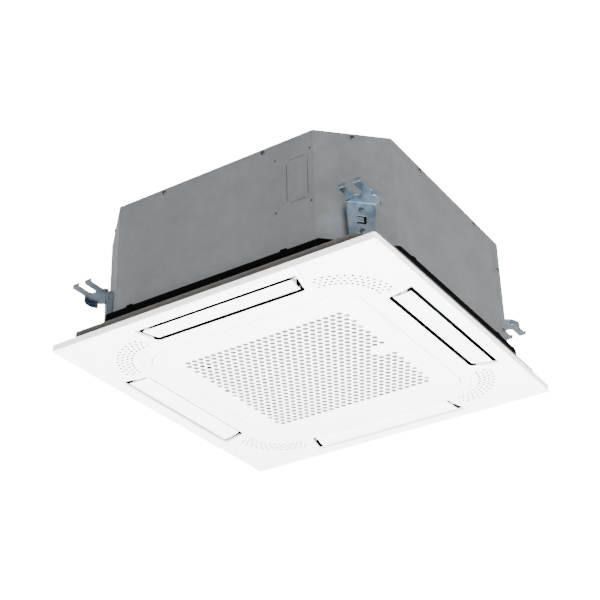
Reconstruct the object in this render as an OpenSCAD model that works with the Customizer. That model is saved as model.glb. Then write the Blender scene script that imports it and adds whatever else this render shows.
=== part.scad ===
// Compact four-way ceiling cassette air conditioner, millimetres.
// Origin: centre of the panel's lower face. +Z up, -Y front, +X right.

/* [Panel] */
// Width of the square panel
panel_w = 620; // [616:1:660]
// Radius of the panel's outer corners
panel_r = 5; // [3:0.5:10]
// Thickness of the panel's moulded walls
panel_t = 2.5; // [2:0.1:2.8]
// Height of the panel's side wall
panel_h = 12; // [11:0.5:14]
// Height of the gap chamber between the panel's face and the drain pan
chamber_h = 25; // [24:0.5:30]
// Width of the flange that meets the ceiling
rim_w = 8; // [7:0.5:8.5]
// Thickness of the flange that meets the ceiling
rim_t = 1.5; // [1.2:0.1:2]
// Width of the seams round the corner covers
cover_seam = 0.6; // [0.4:0.1:1]
// Where a corner cover's seam meets the panel's edge, from the centre line
seam_out = 169; // [167:0.5:175]
// Where a corner cover's seam meets its inner arc, from the centre line
seam_in = 156; // [154:0.5:157]
// Radius of the corner cover's inner arc
cover_arc_r = 56; // [54:0.5:60]

/* [Inlet grille] */
// Width of the square inlet grille
grille_w = 405; // [395:1:408]
// Corner radius of the inlet grille
grille_r = 40; // [30:1:45]
// Thickness of the inlet grille's face
grille_t = 2.2; // [1.8:0.1:2.4]
// Width of the seam round the inlet grille
grille_seam = 1.2; // [1:0.1:1.6]
// Diameter of a grille hole
hole_d = 9.6; // [7:0.1:10]
// Distance between the grille's holes along a row
hole_pitch = 13; // [12:0.1:13.4]
// Number of rows of grille holes
hole_rows = 27; // [21:2:27]
// Number of holes in the grille's long rows
hole_cols = 25; // [19:2:25]

/* [Outlets and louvers] */
// Distance of an outlet's inner edge from the centre
outlet_in = 236.5; // [235:0.5:239]
// Distance of an outlet's outer edge from the centre
outlet_out = 286; // [283:0.5:287]
// Half length of an outlet along its inner edge
outlet_in_half = 143; // [135:0.5:144]
// Half length of an outlet along its outer edge
outlet_out_half = 156.5; // [150:0.5:157]
// Radius of an outlet's inner corners
outlet_r = 10; // [6:0.5:12]
// Gap between an outlet's inner edge and its louver
louver_gap_in = 6; // [5:0.5:8]
// Gap between an outlet's outer edge and its louver
louver_gap_out = 5; // [4:0.5:7]
// Thickness of a louver's face
louver_t = 2.4; // [1.8:0.1:2.8]
// Rise of a louver's underside from its outer edge to its inner edge
louver_lift = 3.5; // [2:0.5:5]
// Height of a louver's axis above the panel's face
louver_axis_z = 13; // [12.5:0.1:14]
// Diameter of a louver's stub shafts
louver_shaft_d = 5; // [4:0.1:6]

/* [Body] */
// Width of the sheet metal body across its flats
body_w = 576; // [572:1:578]
// Size of the body's chamfered corners along each side
body_c = 92; // [88:1:96]
// Height of the body's top above the panel's face
body_top = 257.5; // [250:0.5:300]
// Thickness of the side sheets
sheet_t = 1; // [0.8:0.1:1]
// Thickness of the foam liner
liner_t = 8; // [6:0.5:9]
// Where the front sheet's lap seam lies, from the centre line
lap_y = 174; // [170:1:178]
// Width of the fresh air knock-out
knock_w = 40; // [30:1:46]
// Height of the fresh air knock-out
knock_h = 82; // [60:1:90]

/* [Drain pan and seal] */
// Width of the drain pan's flange across its flats
pan_w = 596; // [592:1:600]
// Size of the drain pan's chamfered corners along each side
pan_c = 92; // [88:1:96]
// Height of the drain pan's flange
pan_flange_h = 19; // [17:0.5:20]
// Height of the whole drain pan
pan_h = 25; // [24:0.5:27]
// Depth of the drain pan's trough
trough_d = 15; // [12:0.5:16]
// Distance of the sealing frame's outer side in from the panel's edge
seal_inset = 10; // [9:0.5:11]
// Size of the sealing frame's chamfered corners along each side
seal_c = 33; // [28:1:38]
// Width of the sealing frame's band
seal_t = 9; // [7:0.5:9.5]

/* [Fan] */
// Outer diameter of the fan wheel
fan_d = 300; // [280:1:310]
// Distance of the bell mouth's throat in from the fan wheel's rim
throat_in = 50; // [47:1:60]
// Number of fan blades
blade_count = 7; // [5:1:9]
// Height of the fan wheel's blades at the rim
blade_h = 80; // [70:1:84]
// Diameter of the fan motor
motor_d = 104; // [90:1:110]
// Height of the fan motor's can
motor_h = 46; // [40:1:48]
// Diameter of the motor shaft
shaft_d = 10; // [8:0.5:12]

/* [Heat exchanger and pipes] */
// Distance of the coil's inner face from the centre
coil_in = 176; // [174:0.5:178]
// Depth of the coil's fin block
coil_t = 28; // [24:0.5:30]
// Diameter of the coil's tubes
tube_d = 7; // [6:0.1:8]
// Outer diameter of the gas pipe
gas_d = 12.7; // [9.52:0.01:12.7]
// Outer diameter of the liquid pipe
liquid_d = 6.35; // [6.35:0.01:9.52]
// Outer diameter of the drain pipe
drain_d = 25; // [20:0.5:26]

/* [Hangers] */
// Width of a hanger bracket at its top
hanger_w = 48; // [44:0.5:50]
// Height of a hanger's tab above the panel's face
hanger_z = 119; // [110:1:126]
// Thickness of the hanger's plate
hanger_t = 2.3; // [2:0.1:2.5]
// Width of a hanger's rod slot
rod_slot = 13; // [11:0.5:13]
// Distance of the rod slots from the centre lines
rod_x = 263.5; // [262:0.5:265]

/* [Hidden] */
$fn = 48;
eps = 0.05;
// Overrun of every cut
over = 1;
// Play of parts that slide past each other, and of parts that run on a shaft
play = 0.3;
run_play = 0.05;

white = [0.95, 0.95, 0.95];
metal = [0.56, 0.58, 0.59];
zinc = [0.46, 0.53, 0.58];
black = [0.06, 0.06, 0.06];
copper = [0.75, 0.45, 0.28];
diag = sqrt(2);
// Corner to corner of a hexagon in shares of its width across the flats, and the step of
// staggered rows in shares of their pitch
hex_share = 2 / sqrt(3);
row_share = sqrt(3) / 2;

panel_half = panel_w / 2;
grille_half = grille_w / 2;
body_half = body_w / 2;
pan_half = pan_w / 2;
seal_half = panel_half - seal_inset;

// Panel: shelf under the corner covers, collar round the grille, ribs and screws
shelf_t = 2.5;
shelf_z = panel_h - shelf_t;
cover_play = 1;
collar_gap = 2.7;
collar_t = 2.2;
arc_in = 2.5;
arc_centre = grille_half - grille_r + arc_in;
dot_d = 3.8;
dot_row_r = 71;
dot_row_step = 8;
dot_rows = 4;
dot_cols = 13;
dot_step = 7.2;
band_groove_r = 111;
band_groove_w = 0.8;
band_groove_d = 0.4;
cover_post_d = 6;
cover_post_shares = [[0.64, 0.9], [0.9, 0.64], [0.9, 0.9]];
pry_l = 20;
pry_w = 1.2;
pry_in = 4.2;
pry_x = 285;
panel_screw_at = 240;
panel_screw_d = 4.2;
panel_screw_l = 26;
screw_head_d = 9;
screw_head_h = 2.6;
standoff_d = 12;
rib_t = 2;
strip_half = 158;

// Outlet ducts and louvers
duct_t = 2.2;
duct_end_h = 21;
duct_wall_h = 14;
louver_axis_off = 1.75;
louver_axis_y = (outlet_in + outlet_out) / 2 + louver_axis_off;
louver_in = outlet_in + louver_gap_in;
louver_out = outlet_out - louver_gap_out;
louver_end_in = 7;
louver_end_out = 12;
louver_corner_r = 2;
louver_bend = 2.5;
louver_steps = 8;
louver_arm_t = 3;
louver_arm_in = 1;
louver_spine_t = 2;
louver_spine_h = 3;
louver_hub_d = 10;
boss_d = 14;
boss_l = 6;
bush_d = 9;
bush_flange_d = 12;
bush_flange_t = 1;
stepper_d = 19.4;
stepper_l = 15;
stepper_nose_l = 5;
stepper_ear = 1.5;
stepper_ear_h = 7;
stepper_ear_t = 1.2;
stepper_room = 2;

// Grille hinge: curved arms on the grille run in the panel's guides, round the grille's lower edge
hinge_at = 130;
arm_r = [11, 14];
arm_w = 5;
arm_angles = [30, 168];
arm_end_angle = 5;
arm_foot_at = 18.5;
arm_foot_l = 9;
arm_foot_w = 12;
arm_foot_t = 1.6;
guide_w = 11;
guide_l = 17;
guide_z = 5.5;

// Grille latches and filter
latch_at = 110;
latch_w = 20;
latch_l = 30;
latch_t = 2.5;
latch_z = panel_t + play;
latch_reach = 6.5;
latch_rail_w = 2.5;
latch_rail_in = 6;
latch_cap_in = 4;
latch_cap_t = 1.2;
latch_ridge_w = 1;
latch_ridge_in = 2;
filter_half_x = 165;
filter_half_y = 160;
filter_t = 6;
filter_border = 6;
filter_bar = 2.5;
filter_cells = 5;
mesh_t = 0.4;
mesh_up = 2.2;
mesh_z = grille_t + mesh_up;
clip_w = 12;
clip_t = 1.6;
// Notches in the filter's edges: side, place and half size in shares of the hole pitch
filter_notch_shares = [[-1, -1.4, 1.1, 1.3], [1, -9, 0.7, 2.1], [1, 8.4, 0.7, 2.1]];
// Finger holes in the filter's mesh: place and half size in shares of the hole pitch
filter_hole_shares = [[-10.4, -8.5, 0.6, 0.9], [-10.4, 6.9, 0.6, 0.9]];

// Body
z_pan = chamber_h;
z_sheet = z_pan + pan_flange_h;
z_in = z_pan + pan_h;
sheet_in = body_half - sheet_t;
lap_w = 16;
lap_gap = 1;
skirt_t = 0.8;
skirt_h = 14;
top_t = 1;
z_top = body_top - top_t;
foam_play = 0.2;
liner_half = sheet_in - lap_gap - foam_play;
liner_top = z_top - foam_play;
slab_t = 10;
z_slab = liner_top - slab_t;
liner_in = liner_half - liner_t;
casing_screw_d = 3.6;
casing_head_d = 7.4;
casing_head_h = 2;
casing_screw_l = 6;
top_screw_x = 100;
top_screw_drop = 7.5;
top_screw_z = body_top - top_screw_drop;
strip_screw_off = 9;
strip_screw_y = lap_y + strip_screw_off;
strip_screw_shares = [0.29, 0.765];
far_screw_share = 0.53;
knock_x = 165;
knock_z = 174.5;
slit_w = 0.9;
slit_tab = 5;
duct_hole_mid = 156.75;
duct_hole_x = 65.5;
duct_hole_z = 100;
duct_hole_d = 3.5;
bead_w = 10;
bead_h = 1.5;
bead_l = 150;

// Drain pan
suction_half = 160;
suction_r = 24;
trough_gap_in = 4;
trough_gap_out = 11;
trough_in = coil_in - trough_gap_in;
trough_out = coil_in + coil_t + trough_gap_out;
z_trough = z_in - trough_d;
nozzle_off = 5.5;
nozzle_in = outlet_in - nozzle_off;
nozzle_out = liner_in;
nozzle_half = 146;
nozzle_t = 2.4;
nozzle_gap = 4.5;
nozzle_z = panel_t + nozzle_gap;
clip_lump_l = 12;
clip_lump_h = 4;
clip_lump_w = 7;
clip_lump_in = 1;
clip_lump_at = [-165, 135];
sump_x = [-248, -165];
sump_y = [160, 215];

// Fan
bell_lap = 8;
bell_half = suction_half + bell_lap;
bell_t = 2;
bell_flare = 30;
bell_rise = 22;
bell_neck = 4;
fan_r = fan_d / 2;
throat_r = fan_r - throat_in;
shroud_t = 2;
shroud_gap = 4;
shroud_up = 18;
shroud_z = z_in + shroud_up;
shroud_neck = 10;
shroud_rise = 24;
shroud_r = throat_r + shroud_gap;
z_shroud_rim = shroud_z + shroud_neck + shroud_t + shroud_rise;
z_back = z_shroud_rim + blade_h;
back_t = 2.5;
cone_share = 0.5;
cone_r = fan_r * cone_share;
cone_drop = 32;
hub_d = 32;
hub_l = 20;
z_hub = z_back - cone_drop - hub_l;
blade_t = 2.5;
blade_in_share = 0.6;
blade_in_r = fan_r * blade_in_share;
blade_r_share = 0.6;
blade_r = fan_r * blade_r_share;
blade_off_share = 0.4133;
blade_off = fan_r * blade_off_share;
nut_af = 17;
nut_h = 8;
shaft_stub = 4;
motor_in = 4;
z_motor = z_slab - motor_h + motor_in;
shaft_gap = 3;
motor_room = 2;
bell_end_h = 6;
bell_end_d = 30;
lug_r = 66;
lug_d = 20;
lug_t = 6;
rubber_d = 16;
rubber_h = 4.5;
motor_bolt_d = 6;
motor_head_af = 10;
motor_head_h = 3;
z_lug = z_top - rubber_h - lug_t;

// Coil and pipes
coil_out = coil_in + coil_t;
coil_r = 30;
coil_cut = 150;
coil_h = z_slab - z_trough;
end_t = 1.5;
end_over = 1;
bend_pitch = 25;
bend_row_shares = [0.25, 0.75];
bend_shares = [0.18, 0.41, 0.65];
header_x = 178;
header_y = 188;
header_d = 14;
header_z = [140, 235];
spread_d = 10;
spread_z = [45, 115];
feeder_d = 5;
gas_z = 160;
gas_feed_z = [210, 225];
liquid_z = 110;
liquid_feed_z = [52];
pipe_out = 11;
pipe_end = body_half + pipe_out;
nipple_t = 2.1;
nipple_l = 6;
nut_over = 9;
nut_back = 1.5;
nut_grow = 5.6;
pipe_hole_play = 0.4;
plate_t = 1.2;
plate_w = 46;
plate_z = [85, 185];
plate_screw_in = 6;

// Drain pump, drain pipe and float switch
pump_at = [-235, 172];
pump_d = 44;
pump_h = 70;
pump_foot_d = 14;
pump_foot_l = 11;
pump_base_share = 0.3;
pump_slope_share = 0.1;
pump_neck_share = 0.8;
drain_wall = 2;
drain_z = 218;
drain_bend_r = 20;
drain_step = 1;
drain_out = 20;
drain_clear = 0.2;
float_at = [-200, 190];
float_d = 18;
float_h = 13;
stem_d = 5;
stem_h = 38;
stem_base_d = 12;
stem_base_h = 2.3;
stop_d = 10;
stop_h = 3;
float_travel = 12;

// Control box and cable gland
box_x = [-157, -113];
box_y = 110;
box_wall = 1.2;
box_up = 2.5;
box_z = z_pan + box_up;
box_cover_t = 1.2;
pcb_t = 1.6;
pcb_drop = 8;
pcb_gap = 4;
pcb_edge = 1;
chip_h = 6;
chip_shares = [-0.7, -0.45, 0.35, 0.6];
post_d = 6;
block_l = 60;
block_w = 18;
block_h = 9;
block_ways = 5;
gland_at = [-120, 100];
gland_d = 16;
gland_bore = 10;
gland_af = 22;
gland_head = 7;
gland_cap = 4;
gland_cap_share = 0.8;
gland_room_share = 1.25;
gland_in = 12;
gland_nut_t = 4;

// Hanger brackets
hanger_off = 8;
hanger_shift = 6;
hanger_up = 2;
hanger_low = z_sheet + hanger_up;
hanger_taper = 3;
hanger_return = 1.8;
prong_w = 13.5;
prong_tip = 298;
slot_end = 271;
lip_h = 5;
tab_r = 26;
tab_at = [264, 250];
skirt_drop = 9;
window_w = 15;
window_h = 14;
window_z = 87;
tongue_w = 11;
tongue_h = 9;
tongue_drop = 1.5;
tab_reach = 6;
hanger_screw_z = [106, 67];
hanger_screw_d = 4;
hanger_head_d = 9;
hanger_hole_z = 56;
hanger_hole_d = 3;
body_face = (2 * body_half - body_c) / diag;

// Half length of an outlet at a distance from the centre
function slot_half(y) = outlet_in_half
    + (y - outlet_in) * (outlet_out_half - outlet_in_half) / (outlet_out - outlet_in);
// Chamfer of an octagon drawn in by t from one with chamfer c
function inner_c(c, t) = c - (2 - diag) * t;

module sides() { for (a = [0:90:270]) rotate(a) children(); }

module octagon(h, c) {
    polygon([
        [-h, -h + c], [-h + c, -h], [h - c, -h], [h, -h + c],
        [h, h - c], [h - c, h], [-h + c, h], [-h, h - c]
    ]);
}

module oct_ring(h, c, t) {
    difference() {
        octagon(h, c);
        octagon(h - t, inner_c(c, t));
    }
}

module round_square(h, r) {
    square([2 * h, 2 * (h - r)], center = true);
    square([2 * (h - r), 2 * h], center = true);
    for (x = [-1, 1], y = [-1, 1]) translate([x * (h - r), y * (h - r)]) circle(r);
}

module round_ring(h, r, t) {
    difference() {
        round_square(h, r);
        round_square(h - t, max(r - t, eps));
    }
}

// Outlet or louver outline on the front side, from y0 to y1 outwards, with its ends
// drawn in by e0 at the inner edge and e1 at the outer edge
module slot2d(y0, y1, e0, e1, r) {
    slope = (e1 - e0) / (outlet_out - outlet_in);
    h0 = slot_half(y0 + r) - e0 - slope * (y0 + r - outlet_in);
    h1 = slot_half(y1) - e0 - slope * (y1 - outlet_in);
    polygon([[-h1, -y1], [h1, -y1], [h0, -y0 - r], [-h0, -y0 - r]]);
    translate([r - h0, -y0 - r]) square([2 * (h0 - r), r]);
    for (s = [-1, 1]) translate([s * (h0 - r), -y0 - r]) circle(r);
}

// A corner cover's region in the back right corner, grown by g
module corner2d(g) {
    difference() {
        polygon([
            [seam_out - g, panel_half], [seam_in - g, arc_centre + cover_arc_r],
            [seam_in - g, arc_centre], [arc_centre, arc_centre], [arc_centre, seam_in - g],
            [arc_centre + cover_arc_r, seam_in - g], [panel_half, seam_out - g],
            [panel_half, panel_half]
        ]);
        translate([arc_centre, arc_centre]) circle(cover_arc_r - g);
    }
}

// A cylinder of diameter d along +X, +Y or -Y from the origin
module rod_x(d, l) { rotate([0, 90, 0]) cylinder(d = d, h = l); }
module rod_y(d, l) { rotate([-90, 0, 0]) cylinder(d = d, h = l); }

// A pan head screw whose head stands on the origin and points up
module screw(d, l, head_d, head_h) {
    translate([0, 0, -l]) cylinder(d = d, h = l);
    intersection() {
        cylinder(d = head_d, h = head_h);
        translate([0, 0, head_h - head_d]) sphere(head_d);
    }
}

// Panel

module panel_plate2d() {
    difference() {
        round_square(panel_half, panel_r);
        round_square(grille_half + grille_seam, grille_r + grille_seam);
        sides() slot2d(outlet_in, outlet_out, 0, 0, outlet_r);
        sides() corner2d(cover_seam / 2);
    }
}

// Walls and bosses round the outlet on the front side
module outlet_walls() {
    linear_extrude(duct_end_h) difference() {
        slot2d(outlet_in, outlet_out, -duct_t, -duct_t, outlet_r);
        slot2d(outlet_in - over, outlet_out + over, 0, 0, outlet_r);
        translate([-panel_half, -outlet_in - outlet_r]) square([panel_w, panel_half]);
    }
    translate([-outlet_out_half, -outlet_out - duct_t, 0])
        cube([2 * outlet_out_half, duct_t, duct_wall_h]);
    for (s = [-1, 1])
        translate([s * (slot_half(louver_axis_y) + boss_l / 2) - boss_l / 2, -louver_axis_y,
            louver_axis_z]) rod_x(boss_d, boss_l);
    for (y = [seal_half - seal_t, seal_half - rib_t])
        translate([-strip_half, -y - rib_t / 2, 0]) cube([2 * strip_half, rib_t, panel_h]);
}

module louver_bores() {
    for (s = [-1, 1])
        translate([s * slot_half(louver_axis_y) - 2 * boss_l, -louver_axis_y, louver_axis_z])
            rod_x(bush_d + 2 * run_play, 4 * boss_l);
    translate([slot_half(louver_axis_y) + boss_l, -louver_axis_y - stepper_d / 2 - stepper_room,
        panel_t + eps]) cube([stepper_l + stepper_room, stepper_d + 2 * stepper_room, chamber_h]);
}

// A bar of width w, curved round the grille's right lower edge from radius r0 to r1, between
// the angles a0 and a1 above +X
module hinge_arc(r0, r1, w, a0, a1) {
    translate([grille_half, w / 2, 0]) rotate([90, 0, 0]) rotate([0, 0, a0])
        rotate_extrude(angle = a1 - a0) translate([r0, 0]) square([r1 - r0, w]);
}

module hinge_guide(y) {
    translate([grille_half - guide_l, y - guide_w / 2, guide_z])
        cube([guide_l + collar_gap + collar_t, guide_w, chamber_h - guide_z - play]);
}

module panel_frame() {
    color(white) difference() {
        union() {
            linear_extrude(panel_t) panel_plate2d();
            linear_extrude(panel_h) difference() {
                round_ring(panel_half, panel_r, panel_t);
                sides() corner2d(cover_seam / 2);
            }
            translate([0, 0, panel_h - rim_t]) linear_extrude(rim_t)
                round_ring(panel_half, panel_r, rim_w);
            sides() {
                linear_extrude(panel_h) intersection() {
                    difference() {
                        corner2d(cover_seam / 2 + panel_t);
                        corner2d(cover_seam / 2);
                    }
                    round_square(panel_half - panel_t / 2, panel_r);
                }
                translate([0, 0, shelf_z]) linear_extrude(shelf_t) intersection() {
                    corner2d(cover_seam / 2 + panel_t);
                    square(2 * (panel_half - panel_t - cover_play), center = true);
                }
                translate([panel_screw_at, panel_screw_at, panel_h - eps])
                    cylinder(d = standoff_d, h = chamber_h - panel_h + eps);
                outlet_walls();
            }
            linear_extrude(chamber_h) difference() {
                round_square(grille_half + collar_gap + collar_t, grille_r + collar_gap);
                round_square(grille_half + collar_gap, grille_r + collar_gap);
            }
            for (y = [-hinge_at, hinge_at]) hinge_guide(y);
        }
        sides() {
            louver_bores();
            translate([panel_screw_at, panel_screw_at, shelf_z - over])
                cylinder(d = panel_screw_d + 2 * run_play, h = chamber_h);
        }
        for (y = [-hinge_at, hinge_at])
            translate([0, y, 0]) hinge_arc(arm_r[0] - play, arm_r[1] + play, arm_w + 2 * play,
                arm_angles[0] - arm_end_angle, arm_angles[1] + arm_end_angle);
        for (y = [-latch_at, latch_at])
            translate([-grille_half - collar_gap - collar_t - over, y - latch_w / 2 - play,
                panel_t]) cube([collar_gap + over + collar_t, latch_w + 2 * play,
                latch_t + 2 * play]);
    }
}

module cover_dots() {
    for (k = [0:dot_rows - 1])
        let (n = dot_cols - k % 2)
            for (i = [0:n - 1])
                rotate(45 + (i - (n - 1) / 2) * dot_step)
                    translate([dot_row_r + k * dot_row_step, 0]) circle(d = dot_d);
}

// Corner cover in the back right corner, turned by a
module corner_cover(a) {
    color(white) rotate(a) {
        difference() {
            union() {
                linear_extrude(panel_t) difference() {
                    intersection() {
                        corner2d(-cover_seam / 2);
                        round_square(panel_half, panel_r);
                    }
                    translate([arc_centre, arc_centre]) cover_dots();
                }
                linear_extrude(panel_h - rim_t - play) intersection() {
                    corner2d(-cover_seam / 2);
                    round_ring(panel_half, panel_r, panel_t);
                }
            }
            translate([arc_centre, arc_centre, -over]) linear_extrude(over + band_groove_d)
                difference() {
                    circle(band_groove_r + band_groove_w / 2);
                    circle(band_groove_r - band_groove_w / 2);
                }
            translate([pry_x, panel_half - pry_in - pry_w, -over])
                cube([pry_l, pry_w, panel_t + 2 * over]);
        }
        for (p = cover_post_shares)
            translate([p[0] * panel_half, p[1] * panel_half, panel_t - eps])
                cylinder(d = cover_post_d, h = shelf_z - panel_t + eps);
    }
}

module panel_seal() {
    color([0.36, 0.35, 0.34]) translate([0, 0, panel_h])
        linear_extrude(chamber_h - panel_h) oct_ring(seal_half, seal_c, seal_t);
}

module panel_screws() {
    color(zinc) sides() translate([panel_screw_at, panel_screw_at, shelf_z]) mirror([0, 0, 1])
        screw(panel_screw_d, panel_screw_l, screw_head_d, screw_head_h);
}

// Drain pan

module drain_pan() {
    c_in = inner_c(pan_c, pan_half - sheet_in + play);
    color(black) difference() {
        union() {
            translate([0, 0, z_pan]) linear_extrude(pan_flange_h) octagon(pan_half, pan_c);
            translate([0, 0, z_pan]) linear_extrude(pan_h)
                octagon(sheet_in - play, inner_c(body_c, sheet_t + play));
            sides() {
                for (y = [nozzle_in - nozzle_t, nozzle_out])
                    translate([-nozzle_half, -y - nozzle_t, nozzle_z])
                        cube([2 * nozzle_half, nozzle_t, z_pan - nozzle_z + eps]);
                for (y = clip_lump_at)
                    translate([pan_half - clip_lump_w - clip_lump_in, y, z_sheet - eps])
                        cube([clip_lump_w, clip_lump_l, clip_lump_h + eps]);
            }
        }
        translate([0, 0, z_pan - over]) linear_extrude(pan_h + 2 * over)
            round_square(suction_half, suction_r);
        sides() translate([-nozzle_half, -nozzle_out, z_pan - over])
            cube([2 * nozzle_half, nozzle_out - nozzle_in, pan_h + 2 * over]);
        translate([0, 0, z_trough]) linear_extrude(trough_d + over) difference() {
            round_square(trough_out, coil_r + trough_out - trough_in);
            round_square(trough_in, coil_r);
        }
        translate([sump_x[0], sump_y[0], z_trough])
            cube([sump_x[1] - sump_x[0], sump_y[1] - sump_y[0], trough_d + over]);
        sides() translate([panel_screw_at, panel_screw_at, z_pan - over])
            cylinder(d = panel_screw_d + 2 * run_play, h = panel_screw_l - chamber_h + shelf_z
                + 2 * over);
    }
}

// Inlet grille, its hinge, latches and filter

function in_word_place(x, y, row) = x > 9.8 * hole_pitch && abs(y) < 1.5 * row;

module grille_holes() {
    row = hole_pitch * row_share;
    for (r = [0:hole_rows - 1])
        let (n = hole_cols - 1 + (r % 2), y = (r - (hole_rows - 1) / 2) * row)
            for (i = [0:n - 1])
                let (x = (i - (n - 1) / 2) * hole_pitch)
                    if (!in_word_place(x, y, row)) translate([x, y]) circle(d = hole_d);
}

module latch_guide(y) {
    x0 = latch_rail_in - grille_half;
    for (s = [-1, 1])
        translate([x0, y + s * (latch_w / 2 + play + latch_rail_w / 2) - latch_rail_w / 2,
            grille_t - eps]) cube([latch_l - latch_rail_in, latch_rail_w, latch_t + 2 * play
            + latch_z - grille_t + latch_cap_t]);
    translate([x0 + latch_cap_in, y - latch_w / 2 - play - latch_rail_w, latch_z + latch_t + play])
        cube([latch_rail_w * 2, latch_w + 2 * (play + latch_rail_w), latch_cap_t]);
}

module filter_clip(a) {
    rotate(a) translate([(a % 180 == 0 ? filter_half_x : filter_half_y) + play, -clip_w / 2,
        grille_t - eps]) {
        cube([clip_t, clip_w, filter_t + play + clip_t]);
        translate([-clip_t, 0, filter_t + play]) cube([2 * clip_t, clip_w, clip_t]);
    }
}

module inlet_grille() {
    color(white) {
        linear_extrude(grille_t) difference() {
            round_square(grille_half, grille_r);
            grille_holes();
        }
        for (y = [-latch_at, latch_at]) latch_guide(y);
        for (a = [0:90:270]) filter_clip(a);
    }
}

module grille_hinge_arms() {
    color(zinc) for (y = [-hinge_at, hinge_at]) translate([0, y, 0]) {
        hinge_arc(arm_r[0], arm_r[1], arm_w, arm_angles[0], arm_angles[1]);
        translate([grille_half - arm_foot_at, -arm_foot_w / 2, grille_t])
            cube([arm_foot_l, arm_foot_w, arm_foot_t]);
    }
}

module grille_latch(y) {
    color([0.85, 0.85, 0.85]) translate([-grille_half, y - latch_w / 2, latch_z]) {
        translate([-latch_reach, 0, 0]) cube([latch_l + latch_reach, latch_w, latch_t]);
        for (i = [1:3])
            translate([latch_l - 4 * i * latch_ridge_w, latch_ridge_in, latch_t - eps])
                cube([latch_ridge_w, latch_w - 2 * latch_ridge_in, latch_ridge_w + eps]);
    }
}

module filter_outline(d) {
    difference() {
        square([2 * (filter_half_x - d), 2 * (filter_half_y - d)], center = true);
        for (n = filter_notch_shares)
            translate([n[0] * filter_half_x, n[1] * hole_pitch])
                square(2 * [n[2] * hole_pitch + d, n[3] * hole_pitch + d], center = true);
    }
}

module filter_bars() {
    step_x = 2 * filter_half_x / filter_cells;
    step_y = 2 * filter_half_y / filter_cells;
    for (i = [1:filter_cells - 1]) {
        translate([i * step_x - filter_half_x, 0])
            square([filter_bar, 2 * filter_half_y], center = true);
        translate([0, i * step_y - filter_half_y])
            square([2 * filter_half_x, filter_bar], center = true);
    }
}

module filter_frame() {
    z0 = mesh_z + mesh_t;
    color([0.88, 0.89, 0.9]) {
        translate([0, 0, grille_t]) linear_extrude(filter_t) difference() {
            filter_outline(0);
            filter_outline(filter_border);
        }
        translate([0, 0, z0]) linear_extrude(grille_t + filter_t - z0) intersection() {
            filter_outline(filter_border / 2);
            filter_bars();
        }
    }
}

module filter_mesh() {
    color([0.8, 0.82, 0.84]) translate([0, 0, mesh_z]) linear_extrude(mesh_t) difference() {
        filter_outline(filter_border);
        for (n = filter_hole_shares)
            translate([n[0], n[1]] * hole_pitch) square(2 * [n[2], n[3]] * hole_pitch, center = true);
    }
}

// Louvers with their motors and bushes, on the front side turned by a

// Height of a louver's underside at a distance from the centre
function louver_under(y) = play
    + louver_lift * pow((louver_out - y) / (louver_out - louver_in), louver_bend);

// Section of a louver's blade, with its outer edge at the right
module louver_section() {
    step = (louver_out - louver_in) / louver_steps;
    under = [for (i = [0:louver_steps]) [louver_in + i * step, louver_under(louver_in + i * step)]];
    polygon(concat(under, [for (i = [louver_steps:-1:0]) under[i] + [0, louver_t]]));
}

module louver(a) {
    slope = (louver_end_out - louver_end_in) / (outlet_out - outlet_in);
    h = slot_half(louver_axis_y) - louver_end_in - slope * (louver_axis_y - outlet_in);
    arm_x = h - louver_arm_t - louver_arm_in;
    shaft_l = slot_half(louver_axis_y) + boss_l - arm_x;
    z_blade = louver_under(louver_axis_y) + louver_t;
    color(white) rotate(a) {
        intersection() {
            rotate([90, 0, -90]) linear_extrude(2 * outlet_out_half, center = true)
                louver_section();
            linear_extrude(chamber_h)
                slot2d(louver_in, louver_out, louver_end_in, louver_end_out, louver_corner_r);
        }
        translate([-arm_x, -louver_axis_y - louver_spine_t / 2, z_blade - play])
            cube([2 * arm_x, louver_spine_t, louver_spine_h + play]);
        for (s = [-1, 1]) {
            translate([s * (arm_x + louver_arm_t / 2) - louver_arm_t / 2, -louver_axis_y,
                louver_axis_z]) rod_x(louver_hub_d, louver_arm_t);
            translate([s * (arm_x + louver_arm_t / 2) - louver_arm_t / 2,
                -louver_axis_y - louver_hub_d / 2, z_blade - play])
                cube([louver_arm_t, louver_hub_d, louver_axis_z - z_blade + play]);
            translate([s * (arm_x + shaft_l / 2) - shaft_l / 2, -louver_axis_y, louver_axis_z])
                rod_x(louver_shaft_d, shaft_l);
        }
    }
}

module louver_bushes() {
    x = slot_half(louver_axis_y);
    color([0.2, 0.2, 0.2]) sides() translate([-x - boss_l, -louver_axis_y, louver_axis_z])
        difference() {
            union() {
                rod_x(bush_d, boss_l);
                translate([-bush_flange_t, 0, 0]) rod_x(bush_flange_d, bush_flange_t);
            }
            translate([-over - bush_flange_t, 0, 0])
                rod_x(louver_shaft_d + 2 * run_play, boss_l + bush_flange_t + 2 * over);
        }
}

module louver_motor(a) {
    x = slot_half(louver_axis_y) + boss_l;
    color([0.8, 0.8, 0.78]) rotate(a) translate([x, -louver_axis_y, louver_axis_z])
        difference() {
            union() {
                rod_x(stepper_d, stepper_l);
                translate([-stepper_nose_l, 0, 0]) rod_x(bush_d, stepper_nose_l + eps);
                translate([0, -stepper_d / 2 - stepper_ear, -stepper_ear_h / 2])
                    cube([stepper_ear_t, stepper_d + 2 * stepper_ear, stepper_ear_h]);
            }
            translate([-stepper_nose_l - over, 0, 0])
                rod_x(louver_shaft_d + 2 * run_play, stepper_nose_l + 2 * over);
        }
}

// Body

// Places of the screws in the side sheets, with each child's +Z pointing outwards
module at_face(a, u, z, off = 0) {
    rotate(a) translate([u, -body_half - off, z]) rotate([90, 0, 0]) children();
}

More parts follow.
